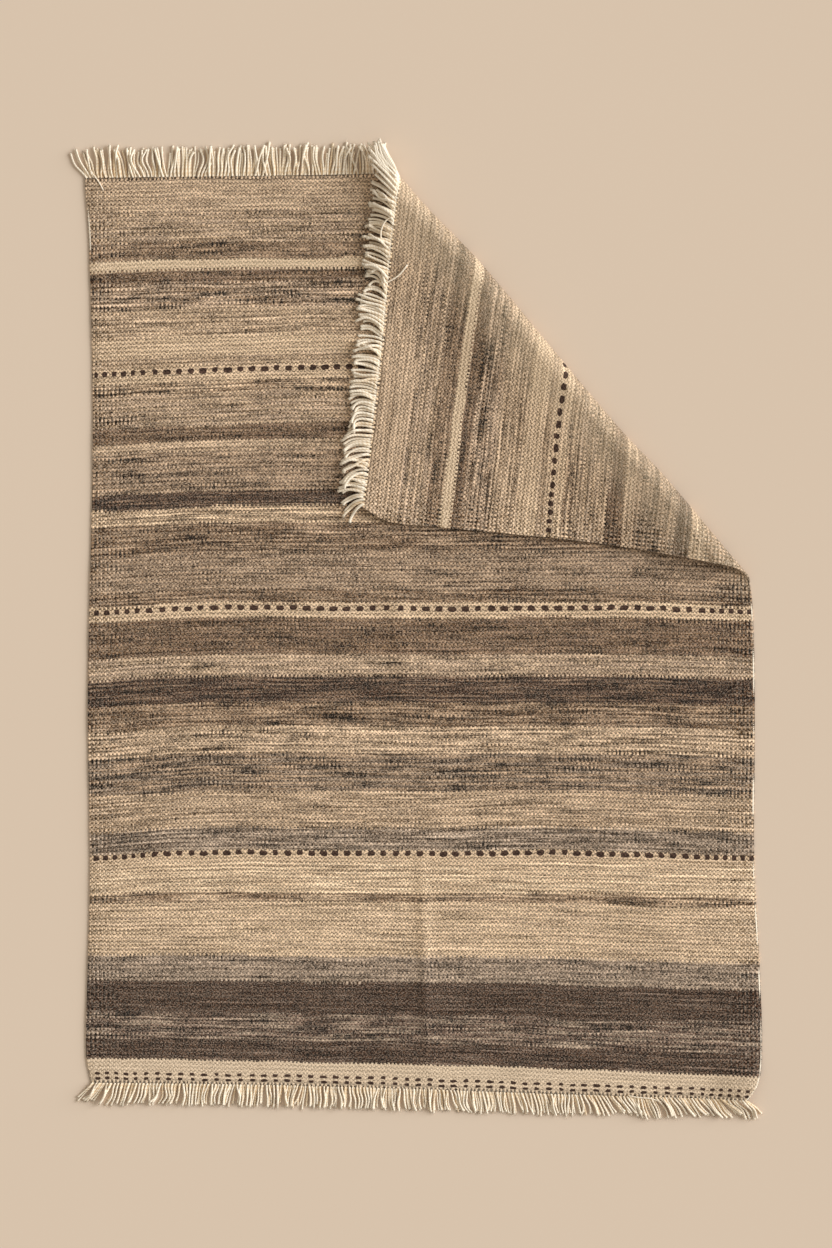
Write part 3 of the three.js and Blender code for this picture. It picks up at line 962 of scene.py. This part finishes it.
def fibre_paths(paths, random):
    """Short loose fibres at each yarn's cut tip, two points to a path."""
    tips = np.repeat(paths[:, -1], FIBRES_PER_TIP, axis=0)
    ahead = paths[:, -1] - paths[:, -2]
    ahead = np.repeat(ahead / np.linalg.norm(ahead, axis=1, keepdims=True), FIBRES_PER_TIP, axis=0)
    count = len(tips)
    direction = ahead + random.normal(0, FIBRE_SPREAD, (count, 3)) * (1, 1, FIBRE_FLATNESS)
    direction[:, 2] = np.clip(direction[:, 2], *FIBRE_RISE)
    direction /= np.linalg.norm(direction, axis=1, keepdims=True)
    length = FIBRE_LENGTH * random.uniform(*FIBRE_LENGTHS, count)[:, None] * MM
    start = tips - direction * FIBRE_ROOT * MM + random.normal(0, FIBRE_JITTER, (count, 3)) * MM
    fibres = np.stack([start, start + direction * length], axis=1)
    fibres[..., 2] = np.maximum(fibres[..., 2], FIBRE_THICKNESS * MM)
    return fibres


def join(name, parts):
    """One mesh of several, with their attributes."""
    bm = bmesh.new()
    for part in parts:
        bm.from_mesh(part)
        bpy.data.meshes.remove(part)
    return mesh_from(bm, name)


def fold_crossing():
    """Where along the top end the fold begins to lift it."""
    u = 0.0
    for _ in range(SOLVING_ROUNDS):
        u = (FOLD_START - top(u) * OUTWARD[1]) / OUTWARD[0]
    return float(u)


class KILIM_OT_lay_fringes(bpy.types.Operator):
    """Lays the loose warp ends of the top, the folded part and the bottom"""

    bl_idname = "kilim.lay_fringes"
    bl_label = "Lay Fringes"
    bl_options = {"REGISTER", "UNDO"}

    def execute(self, context):
        sizes = context.scene.kilim_sizes
        material = warp_yarn(context.scene)
        crossing = fold_crossing()
        left_top, right_top, left_bottom, right_bottom = (
            float(corner(side, end)[0]) for end in (top, bottom) for side in (left, right)
        )
        fringes = [
            Fringe(
                "fringe_top", top, sign=1, start=left_top, stop=crossing, leans=TOP_LEAN,
                length=sizes.top_fringe / MM, spacing=6.9, thick=1.1, depth=0.26,
                tuft=26, sway=7, wander=7, curl=17, seed=11,
            ),
            Fringe(
                "fringe_bottom", bottom, sign=-1, start=left_bottom, stop=right_bottom, leans=BOTTOM_LEAN,
                length=sizes.bottom_fringe / MM, spacing=6.5, thick=0.98, depth=0.26,
                tuft=34, sway=6, wander=6, curl=15, seed=12,
            ),
            Fringe(
                "fringe_folded", top, sign=1, start=crossing, stop=right_top, leans=FOLDED_LEAN,
                length=sizes.folded_fringe / MM, spacing=8.8, thick=1.42, depth=-0.14,
                tuft=24, sway=7, wander=8, curl=25, seed=13, gather=48, hook=56,
            ),
        ]
        bed = Bed()
        yarn = yarn_template()
        fibre = fibre_template()
        for fringe in fringes:
            paths, radii, tones = lay_fringe(fringe, sizes, bed)
            yarns = sweep(paths, radii, yarn, tones)
            random = np.random.default_rng(fringe.seed)
            frayed = fibre_paths(paths, random)
            thin = np.full(frayed.shape[:2], FIBRE_THICKNESS / 2 * MM)
            fibres = sweep(frayed, thin, fibre, np.repeat(tones + FIBRE_TONE, FIBRES_PER_TIP))
            mesh = join(fringe.name + "_yarns", [yarns, fibres])
            piece = finished_piece(fringe.name + "_yarns", mesh, material)
            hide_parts(fringe.name)
        bpy.data.meshes.remove(yarn)
        bpy.data.meshes.remove(fibre)
        return {"FINISHED"}


# Materials

RAMP_STOPS = 31

# A strength that changes with another value along a straight line
Line = namedtuple("Line", "slope start")

# How threads wander: the noise's scale for each millimetre, its detail and its reach in millimetres
Wander = namedtuple("Wander", "scale detail reach")
WANDERS = (
    Wander(scale=0.011, detail=2.0, reach=(9.0, 5.0, 0.0)),
    Wander(scale=0.13, detail=1.0, reach=(7.0, 3.4, 0.0)),
)
NOISE_MIDDLE = 0.5
STEADY_SIDE = Line(-0.75, 1.0)
SLANT_SCALE = (0.003, 0.005, 0.0)
SLANT_REACH = 7.0

# The grain of the floats: how much later they begin on every second warp, and how they are domed
SECOND_WARP_LAG = 0.68
CENTRED = Line(2.0, -1.0)
RIB_DEPTH = Line(0.2, 0.2)
GRAIN_ROUNDNESS = 0.8

# Streaks along the picks, and how the fleck's share turns them into the second yarn
Streak = namedtuple("Streak", "along across")
STREAKS = (Streak(along=0.009, across=0.26), Streak(along=0.004, across=0.14))
FLECK_LIMIT = Line(-0.42, 0.71)
FLECK_EDGE = Line(12.0, 0.5)

# Lightness: of each float, of a hand's width of cloth, of fibres, of streaks and of each pick
DARKENING = -0.02
FLOAT_STRENGTH = Line(0.6, 0.62)
MOTTLE_SCALE = 0.02
MOTTLE_STRENGTH = 0.25
FIBRE_SCALE = 0.5
FIBRE_STRENGTH = 1.6
SECOND_STREAK = Line(0.7, -0.85)
STREAK_STRENGTH = Line(2.6, 0.12)
PICK_RUN = 0.012
PICK_STEP = 1.37
PICK_STRENGTH = Line(5.4, -0.1)
PICK_ON_DARK = Line(-1.3, 1.3)
DARKEST_TONE = 0.1

# Pale stripes of one yarn, and the wool under the painted highlight along the fold, are calmer than
# the rest
PALE_YARN = Line(8.0, -4.0)
SINGLE_YARN = Line(-6.0, 1.4)
CALM_TONE = 0.4
CALM_FOLD_HIGHLIGHT = 0.4
CALM_HOLLOW_SHADE = 0.62
CALM_LEVEL = 1.04
FOLD_HIGHLIGHT_SHARE = 0.28

# Ribs over every second warp, which show on dark yarn and at the sides, the painted shade in the
# hollows, and the painted shade between the warp ends at the last pick
SECOND_WARP_TONE = Line(-1.2, 0.36)
RIBBING = Line(1.25, 0.05)
DARK_YARN = Line(-4.0, 2.1)
HOLLOW_SHADE_DEPTH = 1.5
HOLLOW_SHADE_FLOOR = Line(-0.1, 0.19)
LAST_PICK_SHADE = Line(1.9, 0.05)
LAST_PICK_DARKENING = Line(-0.9, 1.0)

# Hairs, and the darkest that wool gets
HAIRS = Line(0.44, -0.22)
HAIR_STREAKS = 0.1
HAIR_COLOUR = (1.0, 0.88, 0.72)
DARKEST_WOOL = (0.012, 0.009, 0.006)

# Bare warp between the columns, in runs down the rug, and near the top end of the side edges; in
# runs along the right side's edge, a painted highlight in the warp's colour
GAP_SHARPNESS = 1.5
BARE_RUN = 0.03
BARE_RUNS = Line(5.0, -2.9)
BARE_SIDE = Line(-0.15, 0.3)
BARE_SHADE = 0.62
EDGE_HIGHLIGHT_RUN = 0.014
EDGE_HIGHLIGHT_RUNS = Line(9.0, -3.7)
BARE_EDGE_TOP = 130.0
BARE_EDGE_TOP_SHARE = 0.8

# The dots: closer together near the sides, uneven in width and height, with soft round corners
DOT_CROWDING = 1.5
DOT_WIDTHS = Line(0.35, 0.82)
DOT_WOBBLE = 1.6
DOT_SQUARENESS = 3.0
DOT_EDGE = Line(-4.0, 4.5)

FIBRE_RELIEF = 0.5
GRAIN_DEPTH = 0.9 * MM
WHITE = (1.0, 1.0, 1.0, 1.0)
LOW_SHINE = 0.1


class Nodes:
    """A new material and its nodes."""

    def __init__(self, name):
        self.material = bpy.data.materials.new(name)
        self.material.use_nodes = True
        self.tree = self.material.node_tree
        self.tree.nodes.clear()

    def add(self, kind, *values, sockets=None, **settings):
        """Adds a node, sets it, fills or links its inputs, and returns its first output."""
        node = self.tree.nodes.new("ShaderNode" + kind)
        for name, value in settings.items():
            setattr(node, name, value)
        pairs = list(zip(node.inputs, values))
        pairs += [(node.inputs[name], value) for name, value in (sockets or {}).items()]
        for socket, value in pairs:
            if isinstance(value, bpy.types.NodeSocket):
                self.tree.links.new(value, socket)
            else:
                socket.default_value = value
        return node.outputs[0] if node.outputs else node

    def math(self, operation, *values, clamp=False):
        return self.add("Math", *values, operation=operation, use_clamp=clamp)

    def times(self, value, factor):
        return self.math("MULTIPLY", value, factor)

    def plus(self, value, more):
        return self.math("ADD", value, more)

    def minus(self, value, less):
        return self.math("SUBTRACT", value, less)

    def times_plus(self, value, factor, more):
        return self.math("MULTIPLY_ADD", value, factor, more)

    def line(self, value, line, clamp=False):
        """A value's place on a line. A plain number needs no node."""
        if not isinstance(value, bpy.types.NodeSocket):
            return value * line.slope + line.start
        return self.math("MULTIPLY_ADD", value, line.slope, line.start, clamp=clamp)

    def vector(self, operation, *values):
        return self.add("VectorMath", *values, operation=operation)

    def scaled(self, vector, factor):
        return self.add("VectorMath", vector, operation="SCALE", sockets={"Scale": factor})

    def mixed(self, share, before, after):
        return self.add("MixRGB", share, before, after)

    def noise(self, where, scale=1.0, detail=1.0):
        return self.add("TexNoise", where, sockets={"Scale": scale, "Detail": detail})

    def parts(self, vector):
        return self.add("SeparateXYZ", vector).node.outputs

    def attribute(self, name):
        return self.add("Attribute", attribute_name=name).node.outputs["Vector"]

    def surface(self, sockets, height, strength=1.0, distance=GRAIN_DEPTH):
        """Ends the material in a shader with a relief, and returns the material."""
        bump = self.add("Bump", sockets={"Height": height, "Strength": strength, "Distance": distance})
        return self.plain_surface({**sockets, "Normal": bump})

    def plain_surface(self, sockets):
        shader = self.add("BsdfPrincipled", sockets={"Specular IOR Level": LOW_SHINE, **sockets})
        self.add("OutputMaterial", shader)
        return self.material


def draft_colours(nodes, colours, down):
    """The ground and fleck yarns and the fleck's share at a distance down the rug.

    The draft has more bands than one ramp can hold, so it is read from a few ramps in turn."""
    starts = np.concatenate([[0], np.cumsum([band.length for band in BANDS])])
    read = None
    for first in range(0, len(BANDS), RAMP_STOPS):
        bands = BANDS[first:first + RAMP_STOPS]
        begin = float(starts[first])
        length = float(starts[first + len(bands)]) - begin
        within = nodes.minus(down, begin)
        within = nodes.math("DIVIDE", within, length, clamp=True)
        ramps = []
        for yarn in ("ground", "fleck"):
            ramp = nodes.add("ValToRGB", within).node
            ramp.color_ramp.interpolation = "CONSTANT"
            elements = ramp.color_ramp.elements
            elements.remove(elements[1])
            for i, band in enumerate(bands):
                at = float((starts[first + i] - begin) / length)
                stop = elements[0] if i == 0 else elements.new(at)
                stop.color = [*getattr(colours, getattr(band, yarn)), band.share]
            ramps.append(ramp)
        part = [ramps[0].outputs["Color"], ramps[1].outputs["Color"], ramps[1].outputs["Alpha"]]
        if read:
            past = nodes.math("GREATER_THAN", down, begin)
            part = [nodes.mixed(past, before, after) for before, after in zip(read, part)]
        read = part
    return read


def wandering(nodes, weave, side):
    """The weave's coordinates with a slow wander of the threads, and with a quick one as well."""
    wanders = []
    for wander in WANDERS:
        noise = nodes.noise(weave, wander.scale, wander.detail).node.outputs["Color"]
        centred = nodes.vector("SUBTRACT", noise, 3 * (NOISE_MIDDLE,))
        wanders.append(nodes.vector("MULTIPLY", centred, wander.reach))
    slow, quick = wanders
    smooth = nodes.vector("ADD", weave, slow)
    return smooth, nodes.vector("ADD", smooth, nodes.scaled(quick, nodes.line(side, STEADY_SIDE)))


def dome(nodes, steps):
    """A rise and fall over each whole step."""
    centred = nodes.line(nodes.math("FRACT", steps), CENTRED)
    return nodes.minus(1.0, nodes.times(centred, centred))


def bare_warp(nodes, colour, warp, over, down, side, warp_dome):
    """Between the columns the ivory warp shows, least of all near the sides."""
    gap = nodes.math("POWER", nodes.minus(1.0, warp_dome), GAP_SHARPNESS)
    nearest = nodes.math("ROUND", over)
    shows = nodes.noise(nodes.add("CombineXYZ", nearest, nodes.times(down, BARE_RUN)))
    shows = nodes.line(shows, BARE_RUNS, clamp=True)
    shows = nodes.times(shows, nodes.line(side, BARE_SIDE))
    shows = nodes.times(shows, gap)
    return nodes.mixed(shows, colour, [*(BARE_SHADE * c for c in warp), 1])


def edge_warp_and_highlight(nodes, colour, warp, u, down):
    """A painted highlight in the warp's colour in patches along the right side's edge, and bare warp
    near the top end on both sides.
    """
    run = nodes.times(down, EDGE_HIGHLIGHT_RUN)
    bare_and_lit_mask = nodes.add("TexNoise", nodes.add("CombineXYZ", 0.0, run), sockets={"Scale": 1.0})
    bare_and_lit_mask = nodes.line(bare_and_lit_mask, EDGE_HIGHLIGHT_RUNS, clamp=True)
    # Only the right side's edge, which faces the light, gets the painted highlight
    bare_and_lit_mask = nodes.times(bare_and_lit_mask, nodes.math("GREATER_THAN", u, 0.0))
    first = nodes.math("LESS_THAN", down, BARE_EDGE_TOP)
    first = nodes.times(first, BARE_EDGE_TOP_SHARE)
    bare_and_lit_mask = nodes.math("MAXIMUM", bare_and_lit_mask, first)
    return nodes.mixed(bare_and_lit_mask, colour, [*warp, 1])


def dotted(nodes, colour, dark, u, down, side):
    """The rows of dots and dashes."""
    crowd = nodes.times(nodes.math("SIGN", u), side)
    for dots in DOT_ROWS:
        step = nodes.times_plus(u, 1 / dots.pitch, dots.phase)
        step = nodes.times_plus(crowd, DOT_CROWDING, step)
        number = nodes.math("FLOOR", step)
        uneven = nodes.add("TexWhiteNoise", noise_dimensions="1D", sockets={"W": number})
        width = nodes.times(nodes.line(uneven, DOT_WIDTHS), dots.width / 2 / dots.pitch)
        beside = nodes.minus(nodes.math("FRACT", step), 0.5)
        middle = nodes.line(uneven, Line(DOT_WOBBLE, dots.down - DOT_WOBBLE / 2))
        above = nodes.minus(down, middle)
        beyond = []
        for away, reach in ((beside, width), (above, dots.height / 2)):
            away = nodes.math("ABSOLUTE", nodes.math("DIVIDE", away, reach))
            beyond.append(nodes.math("POWER", away, DOT_SQUARENESS))
        inside = nodes.line(nodes.plus(*beyond), DOT_EDGE, clamp=True)
        colour = nodes.mixed(inside, colour, dark)
    return colour


def woven_wool(scene, name, turns=False):
    """Hand-spun wool in a weft-faced plain weave, matt: each pick stands up in a small grain over
    every second warp, and bands of mixed yarns streak along it. Shade is painted into the hollows
    between the floats and between the warp ends at the last pick, and a highlight along the fold.
    Turns leaves the warps out, for the side edge, and paints a highlight along its right side."""
    sizes = scene.kilim_sizes
    colours = scene.kilim_colours
    height = sizes.float_height / MM
    nodes = Nodes(name)
    weave = nodes.attribute("weave")
    side = nodes.parts(weave)[2]
    smooth, moved = wandering(nodes, weave, side)
    u, down, _ = nodes.parts(moved)

    # Picks are beaten down unevenly, so they lie a little aslant of the bands
    slant = nodes.noise(nodes.vector("MULTIPLY", weave, SLANT_SCALE))
    slant = nodes.times(slant, SLANT_REACH)

    # The warp that a point lies over, and the float there, a third later on every second warp. The
    # side edge is a single warp.
    over = nodes.math("DIVIDE", u, sizes.warp_spacing / MM)
    column = half = phase = 0.0
    if not turns:
        column = nodes.math("FLOOR", over)
        half = nodes.math("FRACT", nodes.times(column, 0.5))
        phase = nodes.times(half, SECOND_WARP_LAG)
    beaten = nodes.plus(down, slant)
    lifted = nodes.times_plus(beaten, 1 / height, phase)
    row = nodes.math("FLOOR", lifted)

    # The grain: a small dome for each float of the weft
    grain = dome(nodes, lifted)
    if not turns:
        warp_dome = dome(nodes, over)
        ribbed = nodes.minus(warp_dome, 1.0)
        ribbed = nodes.times_plus(ribbed, nodes.line(side, RIB_DEPTH), 1.0)
        grain = nodes.times(grain, ribbed)
    grain = nodes.math("POWER", grain, GRAIN_ROUNDNESS)

    # The draft is read at each float's own middle, so that a band ends along whole threads
    pick = nodes.plus(nodes.minus(row, phase), 0.5)
    pick = nodes.times(pick, height)
    ground, fleck, share = draft_colours(nodes, colours, nodes.minus(pick, slant))

    # Streaks of the second yarn run along each pick
    straight = nodes.plus(nodes.parts(smooth)[1], slant)
    streaks = []
    for streak in STREAKS:
        run = nodes.times(u, streak.along)
        thread = nodes.times(straight, streak.across)
        streaks.append(nodes.noise(nodes.add("CombineXYZ", run, thread, 1.0)))
    limit = nodes.line(share, FLECK_LIMIT)
    mask = nodes.line(nodes.minus(streaks[0], limit), FLECK_EDGE, clamp=True)
    colour = nodes.mixed(mask, ground, fleck)

    # Tone: each float, each pick and each hand's width of cloth is a little lighter or darker
    red = nodes.parts(ground)[0]
    own_tone = nodes.add("TexWhiteNoise", nodes.add("CombineXYZ", column, row), noise_dimensions="2D")
    own_tone = nodes.minus(own_tone, NOISE_MIDDLE)
    own_strength = nodes.minus(nodes.line(share, FLOAT_STRENGTH), red)
    mottle = nodes.noise(weave, MOTTLE_SCALE, 3.0)
    fibres = nodes.noise(moved, FIBRE_SCALE)
    streaky = nodes.plus(nodes.line(streaks[1], SECOND_STREAK), streaks[0])
    run = nodes.times(u, PICK_RUN)
    pick_tone = nodes.noise(nodes.add("CombineXYZ", run, nodes.times(pick, PICK_STEP)))
    pick_tone = nodes.minus(pick_tone, NOISE_MIDDLE)
    pick_strength = nodes.times(nodes.line(share, PICK_STRENGTH), nodes.line(red, PICK_ON_DARK))
    tone = DARKENING
    for value, strength in (
        (own_tone, own_strength),
        (mottle, MOTTLE_STRENGTH),
        (fibres, FIBRE_STRENGTH),
        (streaky, nodes.line(share, STREAK_STRENGTH)),
        (pick_tone, pick_strength),
    ):
        tone = nodes.times_plus(value, strength, tone)

    # Calm stripes, then the ribs, the painted shade in the hollows between the floats and between the
    # warp ends at the last pick, and the painted highlight along the fold
    nearness, fold_highlight_mask, _ = nodes.parts(nodes.attribute("ends"))
    calm = nodes.line(red, PALE_YARN, clamp=True)
    calm = nodes.times(calm, nodes.line(share, SINGLE_YARN, clamp=True))
    tone = nodes.mixed(nodes.times(calm, CALM_TONE), tone, WHITE)
    ribbing = nodes.times(nodes.line(side, RIBBING), nodes.line(red, DARK_YARN, clamp=True))
    tone = nodes.times_plus(nodes.line(half, SECOND_WARP_TONE), ribbing, tone)
    # Painted shade in the hollows between the floats
    hollow_shade = nodes.times_plus(grain, HOLLOW_SHADE_DEPTH, nodes.line(side, HOLLOW_SHADE_FLOOR))
    calm = nodes.math("MAXIMUM", calm, nodes.times(fold_highlight_mask, CALM_FOLD_HIGHLIGHT))
    calm = nodes.times(calm, CALM_HOLLOW_SHADE)
    tone = nodes.times(tone, nodes.mixed(calm, hollow_shade, [*3 * (CALM_LEVEL,), 1]))
    # Painted shade between the warp ends at the last pick
    last_pick_shade = nodes.times(nodes.line(half, LAST_PICK_SHADE), nearness)
    tone = nodes.times(tone, nodes.line(last_pick_shade, LAST_PICK_DARKENING))
    tone = nodes.math("MAXIMUM", tone, DARKEST_TONE)
    colour = nodes.scaled(colour, tone)
    # Painted highlight: the wool along the fold's crown is painted paler
    colour = nodes.mixed(nodes.times(fold_highlight_mask, FOLD_HIGHLIGHT_SHARE), colour, [*colours.painted_fold_highlight, 1])

    # Stray light and dark hairs, which show most on the dark yarns
    hairs = nodes.line(nodes.noise(weave, FIBRE_SCALE, 0.0), HAIRS)
    hairs = nodes.times_plus(streaky, HAIR_STREAKS, hairs)
    colour = nodes.vector("ADD", colour, nodes.scaled(HAIR_COLOUR, hairs))
    colour = nodes.vector("MAXIMUM", colour, DARKEST_WOOL)

    if turns:
        colour = edge_warp_and_highlight(nodes, colour, colours.warp, u, down)
    else:
        colour = bare_warp(nodes, colour, colours.warp, over, down, side, warp_dome)
        colour = dotted(nodes, colour, nodes.scaled([*colours.dots], tone), u, down, side)
    relief = nodes.times_plus(fibres, FIBRE_RELIEF, grain)
    return nodes.surface({
        "Base Color": colour, "Roughness": 0.95,
        "Sheen Weight": 0.2, "Sheen Roughness": 0.4, "Sheen Tint": (1.0, 0.97, 0.92, 1.0),
    }, relief)


# The twisted cotton: turns of the plies for each millimetre, and what lightens it and what paints
# shade into its grooves and at its roots
PLY_TWIST = 0.55
PLY_ROUNDNESS = 0.5
PLY_FIBRES = (1.6, 2.0)
YARN_LIGHTNESS = Line(0.55, 0.46)
TIP_LIGHTNESS = 0.22
FIBRE_LIGHTNESS = 0.12
GROOVE_SHADE = Line(0.3, 0.74)
ROOT_SHADE = Line(5.0, 0.62)
SHADE_STOP, SHADED_TAN_STOP, WARP_STOP = 0.35, 0.62, 0.92
PLY_RELIEF = {"strength": 0.9, "distance": 0.5 * MM}
PLY_FUZZ = 0.25


def warp_yarn(scene):
    """Undyed two-ply cotton, matt and soft: the plies wind round each other, and the cut tips are
    whiter than the roots. Shade is painted into the grooves between the plies and at the roots, and
    the ramp's darker colours are painted shade."""
    colours = scene.kilim_colours
    nodes = Nodes("Twisted cotton warp")
    strand = nodes.attribute("strand")
    x, y, along = nodes.parts(strand)
    own, share, _ = nodes.parts(nodes.attribute("tone"))
    winding = nodes.times_plus(along, PLY_TWIST, nodes.math("ARCTAN2", y, x))
    ply = nodes.math("ABSOLUTE", nodes.math("SINE", winding))
    ply = nodes.math("POWER", ply, PLY_ROUNDNESS)
    fibres = nodes.noise(strand, *PLY_FIBRES)
    lightness = nodes.line(own, YARN_LIGHTNESS)
    lightness = nodes.times_plus(share, TIP_LIGHTNESS, lightness)
    lightness = nodes.times_plus(fibres, FIBRE_LIGHTNESS, lightness)
    # Painted shade in the grooves between the plies, and at the roots
    lightness = nodes.times(lightness, nodes.line(ply, GROOVE_SHADE))
    out = nodes.math("MINIMUM", nodes.line(share, ROOT_SHADE), 1.0)
    lightness = nodes.times(lightness, out)
    ramp = nodes.add("ValToRGB", lightness)
    elements = ramp.node.color_ramp.elements
    elements[0].position = SHADE_STOP
    elements[0].color = [*colours.shade, 1]
    elements[1].position = WARP_STOP
    elements[1].color = [*colours.warp, 1]
    elements.new(SHADED_TAN_STOP).color = [*colours.tan, 1]
    height = nodes.times_plus(fibres, PLY_FUZZ, ply)
    return nodes.surface({"Base Color": ramp, "Roughness": 0.9}, height, **PLY_RELIEF)


FLOOR_CLOUDS = (1.2, 3.0)
FLOOR_TONE = Line(0.02, 0.99)


def matt_floor(scene):
    """Smooth matt paint, with a grain too fine to see but for a slight unevenness."""
    nodes = Nodes("Matt painted floor")
    cloud = nodes.noise(nodes.add("TexCoord").node.outputs["Object"], *FLOOR_CLOUDS)
    colour = nodes.scaled([*scene.kilim_colours.floor], nodes.line(cloud, FLOOR_TONE))
    return nodes.plain_surface({"Base Color": colour, "Roughness": 0.9})


# The stage

IMAGE = (832, 1248)
PIXEL = 1200 / 665
LAYOUT_ORIGIN = (420.5, 631.5)
LENS = 85
SENSOR = 36
FLOOR_SIZE = 9
FLOOR_DROP = 0.3
ROOM_COLOUR = (1, 0.955, 0.88, 1)
ROOM_STRENGTH = 0.52
SUN_COLOUR = (1, 1.05, 1.13)
SUN_STRENGTH = 3.70
SUN_HEIGHT = math.radians(24)
SUN_DIRECTION = math.radians(12)
SUN_SPREAD = math.radians(44)


class KILIM_OT_set_stage(bpy.types.Operator):
    """Sets the floor, the light and the camera straight above"""

    bl_idname = "kilim.set_stage"
    bl_label = "Set Stage"
    bl_options = {"REGISTER", "UNDO"}

    def execute(self, context):
        scene = context.scene
        bm = bmesh.new()
        bmesh.ops.create_grid(bm, x_segments=1, y_segments=1, size=FLOOR_SIZE / 2)
        bmesh.ops.translate(bm, verts=bm.verts[:], vec=(0, 0, -FLOOR_DROP * MM))
        floor = bpy.data.objects.new("floor", mesh_from(bm, "floor"))
        floor.data.materials.append(matt_floor(scene))
        context.collection.objects.link(floor)

        lens_middle = np.array([
            (IMAGE[0] / 2 - LAYOUT_ORIGIN[0]) * PIXEL, (LAYOUT_ORIGIN[1] - IMAGE[1] / 2) * PIXEL, 0
        ])
        x, y, _ = (lens_middle + SHIFT) * MM
        distance = IMAGE[1] * PIXEL * MM * LENS / SENSOR
        camera = bpy.data.objects.new("camera", bpy.data.cameras.new("camera"))
        camera.data.lens = LENS
        camera.data.sensor_width = SENSOR
        camera.location = (x, y, distance)
        context.collection.objects.link(camera)
        scene.camera = camera

        world = bpy.data.worlds.new("room")
        world.use_nodes = True
        background = world.node_tree.nodes["Background"]
        background.inputs["Color"].default_value = ROOM_COLOUR
        background.inputs["Strength"].default_value = ROOM_STRENGTH
        scene.world = world

        light = bpy.data.lights.new("window", "SUN")
        light.energy = SUN_STRENGTH
        light.angle = SUN_SPREAD
        light.color = SUN_COLOUR
        holder = bpy.data.objects.new("window", light)
        holder.rotation_euler = (0, math.pi / 2 - SUN_HEIGHT, SUN_DIRECTION)
        context.collection.objects.link(holder)

        scene.view_settings.view_transform = "Standard"
        scene.view_settings.look = "None"
        return {"FINISHED"}


class KILIM_PT_panel(bpy.types.Panel):
    """Lists the rug's pieces and what a user would change"""

    bl_label = "Kilim Rug"
    bl_idname = "KILIM_PT_panel"
    bl_space_type = "VIEW_3D"
    bl_region_type = "UI"
    bl_category = "Kilim Rug"

    def draw(self, context):
        for operator in OPERATORS:
            self.layout.operator(operator.bl_idname)
        for group in (context.scene.kilim_sizes, context.scene.kilim_colours):
            box = self.layout.box()
            for name in group.__annotations__:
                box.prop(group, name)


OPERATORS = (KILIM_OT_set_stage, KILIM_OT_weave_cloth, KILIM_OT_turn_edges, KILIM_OT_lay_fringes)
CLASSES = (KilimSizes, KilimColours, *OPERATORS, KILIM_PT_panel)


def register():
    for each in CLASSES:
        bpy.utils.register_class(each)
    bpy.types.Scene.kilim_sizes = bpy.props.PointerProperty(type=KilimSizes)
    bpy.types.Scene.kilim_colours = bpy.props.PointerProperty(type=KilimColours)


def unregister():
    del bpy.types.Scene.kilim_colours
    del bpy.types.Scene.kilim_sizes
    for each in reversed(CLASSES):
        bpy.utils.unregister_class(each)


def main():
    register()
    bpy.ops.kilim.set_stage()
    bpy.ops.kilim.weave_cloth()
    bpy.ops.kilim.turn_edges()
    bpy.ops.kilim.lay_fringes()


if __name__ == "__main__":
    main()
